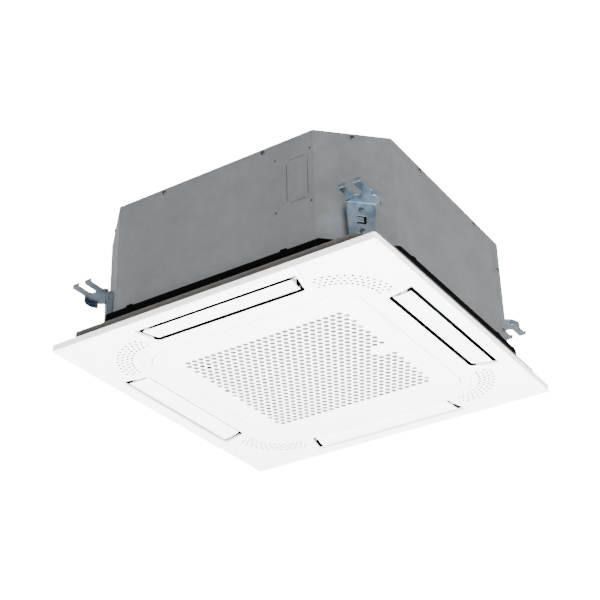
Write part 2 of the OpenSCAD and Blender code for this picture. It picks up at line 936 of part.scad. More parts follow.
module casing_screw_places() {
    for (a = [0:90:270], s = [-1, 1]) at_face(a, s * top_screw_x, top_screw_z) children();
    for (a = [45:90:315])
        rotate(a) translate([0, -body_face, top_screw_z]) rotate([90, 0, 0]) children();
    for (p = strip_screw_shares) at_face(90, strip_screw_y, p * body_top) children();
    at_face(270, strip_screw_y, far_screw_share * body_top) children();
}

module pipe_plate_screw_places() {
    for (s = [-1, 1], z = [plate_z[0] + plate_screw_in, plate_z[1] - plate_screw_in])
        at_face(180, header_x + s * (plate_w / 2 - plate_screw_in), z, plate_t) children();
}

module hanger_places() {
    mirror_x = [0, 1, 0, 1];
    mirror_y = [0, 0, 1, 1];
    for (i = [0:3]) mirror([mirror_x[i], 0, 0]) mirror([0, mirror_y[i], 0]) children();
}

module hanger_screw_places(off) {
    for (z = hanger_screw_z)
        rotate(45) translate([hanger_shift, -body_face - off, z]) rotate([90, 0, 0]) children();
}

module wall_bores(grow) {
    d = casing_screw_d + 2 * grow;
    casing_screw_places() translate([0, 0, -casing_screw_l - over])
        cylinder(d = d, h = casing_screw_l + 2 * over);
    pipe_plate_screw_places() translate([0, 0, -casing_screw_l - over])
        cylinder(d = d, h = casing_screw_l + 2 * over);
    hanger_places() hanger_screw_places(0) translate([0, 0, -casing_screw_l - over])
        cylinder(d = hanger_screw_d + 2 * grow, h = casing_screw_l + 2 * over);
    translate([-header_x, liner_in - over, gas_z])
        rod_y(gas_d + 2 * (grow + pipe_hole_play), 4 * liner_t);
    translate([-header_x, liner_in - over, liquid_z])
        rod_y(liquid_d + 2 * (grow + pipe_hole_play), 4 * liner_t);
    translate([-body_half - over, pump_at[1], drain_z])
        rod_x(drain_d + 2 * (grow + pipe_hole_play), 4 * liner_t);
    translate([-body_half - over, gland_at[0], gland_at[1]])
        rod_x(gland_d + 2 * (grow + run_play), 4 * liner_t);
}

module knock_out() {
    x0 = knock_x - knock_w / 2;
    z0 = knock_z - knock_h / 2;
    for (x = [x0, x0 + knock_w - slit_w])
        translate([x, -body_half - over, z0 + slit_tab])
            cube([slit_w, sheet_t + 2 * over, knock_h - 2 * slit_tab]);
    for (z = [z0, z0 + knock_h - slit_w])
        translate([x0 + slit_tab, -body_half - over, z])
            cube([knock_w - 2 * slit_tab, sheet_t + 2 * over, slit_w]);
}

// The four holes that hold a fresh air duct's flange
module duct_holes(d) {
    for (x = [-1, 1], z = [-1, 1])
        translate([duct_hole_mid + x * duct_hole_x / 2, -body_half - over,
            knock_z + z * duct_hole_z / 2]) rod_y(d, 2 * liner_t);
}

// The front sheet's share of a wrapped outline: the back sheet is the same turned round
module sheet_half2d(h, c, t) {
    b = 2 * body_half;
    intersection() {
        oct_ring(h, c, t);
        polygon([
            [-b, -b], [b, -b], [b, lap_y], [0, lap_y], [0, -lap_y - lap_gap],
            [-b, -lap_y - lap_gap]
        ]);
    }
}

module side_sheet() {
    translate([0, 0, z_sheet]) linear_extrude(body_top - z_sheet)
        sheet_half2d(body_half, body_c, sheet_t);
    lap_h = z_top - skirt_h - z_in - 2 * lap_gap;
    translate([sheet_in - lap_gap, lap_y - lap_w / 2, z_in + lap_gap])
        cube([lap_gap + eps, lap_w / 2, lap_h]);
    translate([sheet_in - lap_gap, lap_y - eps, z_in + lap_gap])
        cube([lap_gap - eps, lap_w, lap_h]);
}

module side_sheet_front() {
    color(metal) difference() {
        side_sheet();
        wall_bores(run_play);
        duct_holes(duct_hole_d);
        knock_out();
    }
}

module side_sheet_back() {
    color(metal) difference() {
        rotate(180) side_sheet();
        wall_bores(run_play);
    }
}

module top_plate() {
    h = sheet_in - 2 * run_play;
    c = inner_c(body_c, sheet_t + 2 * run_play);
    color(metal) difference() {
        union() {
            translate([0, 0, z_top]) linear_extrude(top_t) octagon(h, c);
            translate([0, 0, z_top - skirt_h]) linear_extrude(skirt_h + eps)
                oct_ring(h, c, skirt_t);
            for (a = [45:90:315])
                rotate(a) translate([motor_d, -bead_w / 2, body_top - eps])
                    cube([bead_l, bead_w, bead_h + eps]);
        }
        wall_bores(run_play);
        motor_bolt_places() cylinder(d = motor_bolt_d + 2 * run_play, h = 2 * body_top,
            center = true);
    }
}

// Eight foam panels, parted at the body's corners
module liner_walls() {
    c = inner_c(body_c, body_half - liner_half);
    color([0.9, 0.9, 0.92]) difference() {
        translate([0, 0, z_in]) linear_extrude(z_slab - foam_play - z_in) difference() {
            oct_ring(liner_half, c, liner_t);
            sides() for (m = [0, 1])
                mirror([0, m, 0]) translate([liner_half, liner_half - c]) rotate(22.5)
                    translate([-2 * liner_t, -foam_play / 2]) square([4 * liner_t, foam_play]);
        }
        wall_bores(play);
        duct_holes(duct_hole_d + 2 * play);
        translate([-body_half, gland_at[0], gland_at[1]])
            rod_x(gland_af * gland_room_share, sheet_t + lap_gap + gland_nut_t + over);
    }
}

module liner_top() {
    color([0.9, 0.9, 0.92]) difference() {
        translate([0, 0, z_slab]) linear_extrude(slab_t) difference() {
            octagon(liner_half, inner_c(body_c, body_half - liner_half));
            circle(lug_r + lug_d / 2 + motor_room);
        }
        wall_bores(play);
    }
}

module casing_screws() {
    color([0.6, 0.63, 0.65]) {
        casing_screw_places() screw(casing_screw_d, casing_screw_l, casing_head_d, casing_head_h);
        pipe_plate_screw_places()
            screw(casing_screw_d, casing_screw_l, casing_head_d, casing_head_h);
    }
}

// Hanger brackets: the front right one, the others are its mirror images

module hanger_plate2d() {
    top = hanger_w / 2;
    low = top - hanger_taper;
    difference() {
        polygon([[-low, hanger_low], [low, hanger_low], [top, hanger_z], [-top, hanger_z]]);
        translate([-window_w / 2, window_z - window_h / 2]) difference() {
            square([window_w, window_h]);
            translate([-eps, window_h - tongue_h - tongue_drop]) square([tongue_w, tongue_h]);
        }
        for (z = hanger_screw_z) translate([0, z]) circle(d = hanger_screw_d + 2 * run_play);
        translate([-top / 2, hanger_hole_z]) circle(d = hanger_hole_d);
    }
}

module hanger_tab2d() {
    difference() {
        union() {
            translate([tab_at[0], -tab_at[1]]) circle(tab_r);
            for (s = [-1, 1])
                translate([rod_x + s * (rod_slot + prong_w) / 2 - prong_w / 2, -prong_tip])
                    square([prong_w, prong_tip - tab_at[1]]);
            rotate(45) translate([hanger_shift - hanger_w / 2, -body_face - hanger_off - hanger_t
                - tab_reach]) square([hanger_w, hanger_t + tab_reach]);
        }
        rotate(45) translate([-2 * hanger_w, -body_face - hanger_off])
            square([4 * hanger_w, 2 * hanger_w]);
        translate([rod_x, -slot_end]) circle(d = rod_slot);
        translate([rod_x - rod_slot / 2, -prong_tip - over])
            square([rod_slot, prong_tip + over - slot_end]);
    }
}

module hanger_bracket(mx, my) {
    face = body_face + hanger_off;
    color(zinc) mirror([mx, 0, 0]) mirror([0, my, 0]) {
        rotate(45) translate([hanger_shift, -face, 0]) rotate([90, 0, 0])
            linear_extrude(hanger_t) hanger_plate2d();
        rotate(45) for (s = [-1, 1])
            translate([hanger_shift + s * (hanger_w / 2 - hanger_taper - hanger_return)
                - hanger_return / 2, -face - eps, hanger_low])
                cube([hanger_return, hanger_off + eps, hanger_z - hanger_low]);
        translate([0, 0, hanger_z - eps]) linear_extrude(hanger_t + eps) hanger_tab2d();
        for (s = [-1, 1])
            translate([rod_x + s * (rod_slot + prong_w) / 2 - prong_w / 2, -prong_tip,
                hanger_z + hanger_t - eps]) cube([prong_w, hanger_t, lip_h + eps]);
        translate([0, 0, hanger_z - skirt_drop]) linear_extrude(skirt_drop + eps)
            intersection() {
                translate([tab_at[0], -tab_at[1]]) difference() {
                    circle(tab_r);
                    circle(tab_r - hanger_t);
                    for (a = [-20, 55])
                        rotate(a) translate([-3 * tab_r, -3 * tab_r]) square(3 * tab_r);
                    rotate(-45) translate([-3 * tab_r, 0]) square(3 * tab_r);
                }
                rotate(45) translate([-2 * hanger_w, -face - 4 * tab_r])
                    square([4 * hanger_w, 4 * tab_r]);
            }
    }
}

module bracket_screws() {
    color([0.7, 0.73, 0.75]) hanger_places() hanger_screw_places(hanger_off + hanger_t)
        screw(hanger_screw_d, hanger_off + hanger_t + casing_screw_l, hanger_head_d,
            casing_head_h);
}

// Fan

module bell_mouth() {
    flare = throat_r + bell_flare;
    low = [for (a = [0:10:90]) [flare - bell_flare * sin(a), bell_rise * (1 - cos(a))]];
    high = [for (a = [90:-10:0])
        [flare - (bell_flare - bell_t) * sin(a), bell_t + (bell_rise - bell_t) * (1 - cos(a))]];
    color([0.25, 0.25, 0.27]) translate([0, 0, z_in]) {
        linear_extrude(bell_t) difference() {
            round_square(bell_half, suction_r);
            circle(flare - eps);
        }
        rotate_extrude() polygon(concat(low, [[throat_r, bell_rise + bell_neck],
            [throat_r + bell_t, bell_rise + bell_neck]], high));
    }
}

// Points of the shroud's curve, offset by d from its outer face
function shroud_curve(d) = [for (a = [0:10:90])
    [fan_r - (fan_r - shroud_r - shroud_t + d) * cos(a),
        shroud_z + shroud_neck + d + shroud_rise * sin(a)]];

module fan_shroud() {
    outer = shroud_curve(0);
    inner = shroud_curve(shroud_t);
    n = len(inner);
    color([0.3, 0.31, 0.33]) rotate_extrude() polygon(concat(
        [[shroud_r, shroud_z], [shroud_r + shroud_t, shroud_z]], outer,
        [for (i = [n - 1:-1:0]) inner[i]]));
}

module fan_wheel() {
    inner = shroud_curve(shroud_t);
    n = len(inner);
    color([0.3, 0.31, 0.33]) {
        difference() {
            rotate_extrude() polygon([
                [0, z_hub], [hub_d / 2, z_hub], [hub_d / 2, z_hub + hub_l - back_t],
                [cone_r, z_back], [fan_r, z_back], [fan_r, z_back + back_t],
                [cone_r - back_t, z_back + back_t], [hub_d / 2 - back_t, z_hub + hub_l],
                [0, z_hub + hub_l]
            ]);
            translate([0, 0, z_hub - over])
                cylinder(d = shaft_d + 2 * run_play, h = hub_l + 2 * over);
        }
        intersection() {
            rotate_extrude() polygon(concat([[blade_in_r, z_back + eps],
                [blade_in_r, shroud_z + shroud_neck + shroud_rise],
                [shroud_r + shroud_t, shroud_z + shroud_neck + shroud_rise / 2]],
                [for (i = [2:n - 1]) inner[i] + [0, eps]], [[fan_r - eps, z_back + eps]]));
            for (i = [0:blade_count - 1])
                rotate(i * 360 / blade_count) translate([0, 0, shroud_z]) linear_extrude(z_back)
                    difference() {
                        translate([blade_off, 0]) circle(blade_r);
                        translate([blade_off, 0]) circle(blade_r - blade_t);
                        translate([-fan_r, -2 * fan_r]) square([3 * fan_r, 2 * fan_r]);
                        translate([-2 * fan_r, -fan_r]) square([2 * fan_r, 3 * fan_r]);
                    }
        }
    }
}

module motor_bolt_places() { for (a = [30:120:270]) rotate(a) translate([lug_r, 0, 0]) children(); }

module fan_motor() {
    color([0.15, 0.15, 0.16]) difference() {
        union() {
            translate([0, 0, z_motor]) cylinder(d = motor_d, h = motor_h);
            translate([0, 0, z_motor - bell_end_h]) cylinder(d = bell_end_d, h = bell_end_h + eps);
            motor_bolt_places() translate([0, 0, z_lug]) cylinder(d = lug_d, h = lug_t);
            translate([0, 0, z_lug]) intersection() {
                for (a = [30:120:270])
                    rotate(a) translate([0, -lug_d / 2, 0]) cube([lug_r, lug_d, lug_t]);
                cylinder(r = lug_r, h = lug_t);
            }
            translate([0, 0, z_motor + motor_h - eps])
                cylinder(d = motor_d / 2, h = z_lug + lug_t - z_motor - motor_h + eps);
        }
        motor_bolt_places() translate([0, 0, z_lug - over])
            cylinder(d = motor_bolt_d + 2 * run_play, h = lug_t + 2 * over);
        translate([0, 0, z_motor - bell_end_h - over])
            cylinder(d = shaft_d + 2 * run_play, h = motor_h / 2 + over);
    }
}

module motor_shaft() {
    z0 = z_hub - nut_h - shaft_stub;
    color([0.7, 0.72, 0.74]) translate([0, 0, z0])
        cylinder(d = shaft_d, h = z_motor - bell_end_h + motor_h / 2 - z0 - shaft_gap);
}

module fan_nut() {
    color(zinc) translate([0, 0, z_hub - nut_h]) difference() {
        cylinder(d = nut_af * hex_share, h = nut_h, $fn = 6);
        translate([0, 0, -over]) cylinder(d = shaft_d + 2 * run_play, h = nut_h + 2 * over);
    }
}

module motor_bolts() {
    color(zinc) motor_bolt_places() {
        translate([0, 0, z_lug]) cylinder(d = motor_bolt_d, h = body_top - z_lug + eps);
        translate([0, 0, body_top]) cylinder(d = motor_head_af * hex_share, h = motor_head_h,
            $fn = 6);
    }
}

module motor_rubbers() {
    color(black) motor_bolt_places() translate([0, 0, z_lug + lug_t]) difference() {
        cylinder(d = rubber_d, h = rubber_h);
        translate([0, 0, -over])
            cylinder(d = motor_bolt_d + 2 * run_play, h = rubber_h + 2 * over);
    }
}

// Heat exchanger and pipes

module evaporator_fins() {
    color([0.78, 0.8, 0.82]) translate([0, 0, z_trough]) linear_extrude(coil_h)
        difference() {
            round_square(coil_out, coil_r + coil_t);
            round_square(coil_in, coil_r);
            translate([-coil_cut - 2 * coil_out, coil_cut]) square(2 * coil_out);
        }
}

module coil_end_plates() {
    color(metal) {
        translate([-coil_cut - end_t, coil_in - end_over, z_trough])
            cube([end_t, coil_t + 2 * end_over, coil_h]);
        translate([-coil_out - end_over, coil_cut, z_trough])
            cube([coil_t + 2 * end_over, end_t, coil_h]);
    }
}

module bend() {
    rotate([90, 0, 0]) rotate([0, 0, 90]) rotate_extrude(angle = 180)
        translate([bend_pitch / 2, 0]) circle(d = tube_d);
}

module return_bends() {
    color(copper) for (p = bend_shares, q = bend_row_shares)
        let (z = z_trough + p * coil_h, r = coil_in + q * coil_t) {
            translate([-coil_cut - end_t, r, z]) bend();
            translate([-r, coil_cut + end_t, z]) rotate(-90) bend();
        }
}

// A header in the coil's open corner with its feeders and its way out through the back
module header_pipe(d, z_range, feed_z, pipe_d, pipe_z) {
    translate([-header_x, header_y, z_range[0]]) cylinder(d = d, h = z_range[1] - z_range[0]);
    for (z = feed_z) {
        translate([-header_x, header_y, z]) rod_x(feeder_d, header_x - coil_cut - end_t);
        translate([-header_x, coil_cut + end_t, z]) rod_y(feeder_d, header_y - coil_cut - end_t);
    }
    translate([-header_x, header_y, pipe_z]) rod_y(pipe_d, pipe_end - header_y);
    translate([-header_x, pipe_end - nipple_l, pipe_z]) rod_y(pipe_d + 2 * nipple_t, nipple_l);
}

module gas_pipe() {
    color(copper) header_pipe(header_d, header_z, gas_feed_z, gas_d, gas_z);
}

module liquid_pipe() {
    color(copper) header_pipe(spread_d, spread_z, liquid_feed_z, liquid_d, liquid_z);
}

module flare_nut(pipe_d, pipe_z) {
    af = pipe_d + 2 * nut_grow;
    l = nut_back + nipple_l + nut_over;
    color([0.8, 0.65, 0.3]) translate([-header_x, pipe_end - nipple_l - nut_back, pipe_z])
        difference() {
            rotate([-90, 0, 0]) cylinder(d = af * hex_share, h = l, $fn = 6);
            translate([0, -over, 0]) rod_y(pipe_d + 4 * run_play, l + 2 * over);
            translate([0, nut_back - run_play, 0])
                rod_y(pipe_d + 2 * nipple_t + 4 * run_play, nipple_l + 3 * run_play);
        }
}

module pipe_plate() {
    color(metal) difference() {
        translate([-header_x - plate_w / 2, body_half, plate_z[0]])
            cube([plate_w, plate_t, plate_z[1] - plate_z[0]]);
        wall_bores(run_play);
    }
}

// Drain pump, drain pipe and float switch

module drain_pump() {
    color([0.85, 0.86, 0.88]) translate([pump_at[0], pump_at[1], z_in]) {
        cylinder(d = pump_d, h = pump_h * pump_base_share);
        cylinder(d = pump_d * pump_neck_share, h = pump_h);
        translate([0, 0, pump_h * pump_base_share])
            cylinder(d1 = pump_d, d2 = pump_d * pump_neck_share, h = pump_h * pump_slope_share);
        translate([0, 0, -pump_foot_l]) cylinder(d = pump_foot_d, h = pump_foot_l + eps);
    }
}

module drain_pipe() {
    z0 = z_in + pump_h;
    z1 = drain_z - drain_bend_r;
    leg_d = drain_d - drain_step;
    leg_l = body_half + drain_clear + pump_at[0] - drain_bend_r;
    stub_l = drain_out - drain_clear;
    color([0.9, 0.9, 0.88]) translate([pump_at[0], pump_at[1], 0]) {
        translate([0, 0, z0]) cylinder(d = leg_d, h = z1 - z0);
        translate([-drain_bend_r, 0, z1]) rotate([90, 0, 0]) rotate_extrude(angle = 90)
            translate([drain_bend_r, 0]) circle(d = leg_d);
        translate([-drain_bend_r - leg_l, 0, drain_z]) difference() {
            union() {
                rod_x(leg_d, leg_l);
                translate([-stub_l, 0, 0]) rod_x(drain_d, stub_l);
            }
            translate([-stub_l - over, 0, 0])
                rod_x(drain_d - 2 * drain_wall, leg_l + stub_l - drain_wall + over);
        }
    }
}

module float_stem() {
    color([0.3, 0.3, 0.32]) translate([float_at[0], float_at[1], z_trough]) {
        cylinder(d = stem_base_d, h = stem_base_h);
        cylinder(d = stem_d, h = stem_h);
        translate([0, 0, stem_base_h + play + float_h + float_travel + play])
            cylinder(d = stop_d, h = stop_h);
    }
}

module float_ring() {
    color([0.95, 0.93, 0.85])
        translate([float_at[0], float_at[1], z_trough + stem_base_h + play]) difference() {
            cylinder(d = float_d, h = float_h);
            translate([0, 0, -over])
                cylinder(d = stem_d + 2 * run_play, h = float_h + 2 * over);
        }
}

// Control box and cable gland

module control_box() {
    w = box_x[1] - box_x[0];
    color(metal) translate([box_x[0], -box_y, box_z + box_cover_t]) difference() {
        union() {
            difference() {
                cube([w, 2 * box_y, z_in - box_z - box_cover_t]);
                translate([box_wall, box_wall, -over])
                    cube([w - 2 * box_wall, 2 * (box_y - box_wall),
                        z_in - box_z - box_cover_t - box_wall + over]);
            }
            for (x = [pcb_gap + post_d / 2, w - pcb_gap - post_d / 2],
                 y = [pcb_gap + post_d / 2, 2 * box_y - pcb_gap - post_d / 2])
                translate([x, y, z_in - box_z - box_cover_t - box_wall - pcb_drop])
                    cylinder(d = post_d, h = pcb_drop + eps);
        }
    }
}

module control_box_cover() {
    color(metal) translate([box_x[0], -box_y, box_z])
        cube([box_x[1] - box_x[0], 2 * box_y, box_cover_t]);
}

module circuit_board() {
    z = z_in - box_wall - pcb_drop - pcb_t;
    x0 = box_x[0] + box_wall + pcb_edge;
    w = box_x[1] - box_x[0] - 2 * (box_wall + pcb_edge);
    y0 = box_y - box_wall - pcb_edge;
    color([0.1, 0.4, 0.2]) {
        translate([x0, -y0, z]) cube([w, 2 * y0, pcb_t]);
        for (p = chip_shares)
            translate([x0 + w / 2, p * y0, z - chip_h]) cylinder(d = w / 4, h = chip_h + eps);
    }
}

module terminal_block() {
    z = z_in - box_wall - pcb_drop - pcb_t - block_h;
    x = (box_x[0] + box_x[1]) / 2;
    color([0.9, 0.9, 0.85]) translate([x - block_w / 2, -block_l / 2, z]) difference() {
        cube([block_w, block_l, block_h]);
        for (i = [0:block_ways - 1])
            translate([block_w / 2, (i + 0.5) * block_l / block_ways, -over])
                cylinder(d = block_w / 4, h = block_h / 2 + over);
    }
}

module cable_gland() {
    color([0.2, 0.2, 0.22]) translate([-body_half, gland_at[0], gland_at[1]]) difference() {
        union() {
            rod_x(gland_d, gland_in);
            translate([-gland_head, 0, 0]) rotate([0, 90, 0])
                cylinder(d = gland_af * hex_share, h = gland_head, $fn = 6);
            translate([-gland_head - gland_cap, 0, 0])
                rod_x(gland_af * gland_cap_share, gland_head);
            translate([sheet_t, 0, 0]) rotate([0, 90, 0])
                cylinder(d = gland_af * hex_share, h = gland_nut_t, $fn = 6);
        }
        translate([-gland_head - gland_cap - over, 0, 0])
            rod_x(gland_bore, gland_head + gland_cap + gland_in + 2 * over);
    }
}

panel_frame();
corner_cover(270);  // corner_cover_1
corner_cover(0);  // corner_cover_2
corner_cover(90);  // corner_cover_3
corner_cover(180);  // corner_cover_4
panel_seal();
drain_pan();
inlet_grille();
filter_frame();
filter_mesh();
louver(0);  // louver_1
louver(90);  // louver_2
louver(180);  // louver_3
louver(270);  // louver_4
louver_motor(0);  // louver_motor_1
louver_motor(90);  // louver_motor_2
louver_motor(180);  // louver_motor_3
louver_motor(270);  // louver_motor_4
louver_bushes();
grille_hinge_arms();
grille_latch(-latch_at);  // grille_latch_1
grille_latch(latch_at);  // grille_latch_2
panel_screws();
top_plate();
side_sheet_front();
side_sheet_back();
liner_walls();
liner_top();
casing_screws();
hanger_bracket(0, 0);  // hanger_bracket_1
hanger_bracket(1, 0);  // hanger_bracket_2
hanger_bracket(0, 1);  // hanger_bracket_3
hanger_bracket(1, 1);  // hanger_bracket_4
bracket_screws();
bell_mouth();
fan_wheel();
fan_shroud();
fan_motor();
motor_shaft();
fan_nut();
motor_bolts();
motor_rubbers();
evaporator_fins();
coil_end_plates();
return_bends();
gas_pipe();
liquid_pipe();
flare_nut(gas_d, gas_z);  // gas_flare_nut
flare_nut(liquid_d, liquid_z);  // liquid_flare_nut
pipe_plate();
drain_pump();
drain_pipe();
float_stem();
float_ring();
control_box();
control_box_cover();
circuit_board();
terminal_block();
cable_gland();
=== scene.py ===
"""Ceiling cassette air conditioner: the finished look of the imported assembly.

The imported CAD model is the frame. Every piece is built in that frame, in metres, and rides on the
CAD body that carries it. Sizes in the classes below are millimetres.
"""

import logging
import math
from dataclasses import dataclass, field
from enum import Enum
from typing import Callable, Iterable, Optional, Sequence

import bmesh
import bpy
from mathutils import Matrix, Vector
from mathutils.geometry import delaunay_2d_cdt


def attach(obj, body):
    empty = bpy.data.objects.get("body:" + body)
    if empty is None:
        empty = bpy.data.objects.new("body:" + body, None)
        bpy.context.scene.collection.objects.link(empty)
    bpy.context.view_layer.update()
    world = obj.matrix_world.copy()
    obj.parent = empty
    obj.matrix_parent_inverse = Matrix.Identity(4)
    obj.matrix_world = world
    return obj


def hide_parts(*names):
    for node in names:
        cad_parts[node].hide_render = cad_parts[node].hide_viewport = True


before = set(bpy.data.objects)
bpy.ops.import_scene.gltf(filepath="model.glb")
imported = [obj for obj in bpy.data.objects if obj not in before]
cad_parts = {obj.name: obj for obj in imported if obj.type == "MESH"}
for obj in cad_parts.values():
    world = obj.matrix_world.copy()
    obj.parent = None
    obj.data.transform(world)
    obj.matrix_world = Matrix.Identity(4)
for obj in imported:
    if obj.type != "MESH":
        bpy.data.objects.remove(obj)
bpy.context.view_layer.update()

MM = 0.001
WELD = 2e-6
EXACT = 1e-7
MERGE_ANGLE = 0.4
SHARP_EDGE = 0.01
LOG = logging.getLogger("cassette")
Point = tuple[float, float]
Colour = tuple[float, float, float]


class Side(Enum):
    """The four sides of the unit, each with its turn from the front in degrees."""

    FRONT = 0
    RIGHT = 90
    BACK = 180
    LEFT = 270


class Corner(Enum):
    """The four corners of the panel, each with its turn from the back right in degrees."""

    FRONT_RIGHT = 270
    BACK_RIGHT = 0
    BACK_LEFT = 90
    FRONT_LEFT = 180


class Drive(Enum):
    """The kinds of recess or form by which a screw is turned."""

    CROSS = "cross"
    HEX = "hex"


# Plane geometry

def turned(points: Iterable[Point], degrees: float) -> list[Point]:
    """Turns points about the vertical axis."""
    c, s = math.cos(math.radians(degrees)), math.sin(math.radians(degrees))
    return [(x * c - y * s, x * s + y * c) for x, y in points]


def arc(centre: Point, radius: float, start: float, end: float, steps: int) -> list[Point]:
    """Points along a circular arc.

    Args:
        centre: Centre of the arc.
        radius: Radius of the arc.
        start: First angle in degrees.
        end: Last angle in degrees.
        steps: Number of straight steps.

    Returns:
        The points, both ends included.
    """
    return [(centre[0] + radius * math.cos(math.radians(start + (end - start) * i / steps)),
             centre[1] + radius * math.sin(math.radians(start + (end - start) * i / steps)))
            for i in range(steps + 1)]


def round_square(half: float, radius: float, steps: int = 12) -> list[Point]:
    """Outline of a square with rounded corners.

    Args:
        half: Half the square's width.
        radius: Corner radius.
        steps: Straight steps in each corner.

    Returns:
        The outline, counter-clockwise.
    """
    points: list[Point] = []
    for quarter in range(4):
        points += turned(arc((half - radius, half - radius), radius, 0, 90, steps), 90 * quarter)
    return points


def filled(points: Sequence[Vector], ends: Sequence[tuple[int, int]],
           mode: int) -> list[list[int]]:
    """Fills closed outlines with triangles, wherever an odd number of them goes round.

    Args:
        points: Points of all outlines, in the plan.
        ends: Indices of each edge's two points.
        mode: What the triangulation gives: 0 for all triangles, 1 for those inside.

    Returns:
        Indices of each triangle's points.
    """
    found = delaunay_2d_cdt(points, ends, [], mode, EXACT)
    triangles = []
    for triangle in found[2]:
        corners = [found[3][i][0] for i in triangle]
        x, y = sum((points[i] for i in corners), Vector((0, 0))) / 3
        crossings = 0
        for i, j in ends:
            a, b = points[i], points[j]
            if (a.y > y) != (b.y > y):
                crossings += x < a.x + (b.x - a.x) * (y - a.y) / (b.y - a.y)
        if crossings % 2:
            triangles.append(corners)
    return triangles


# Pieces

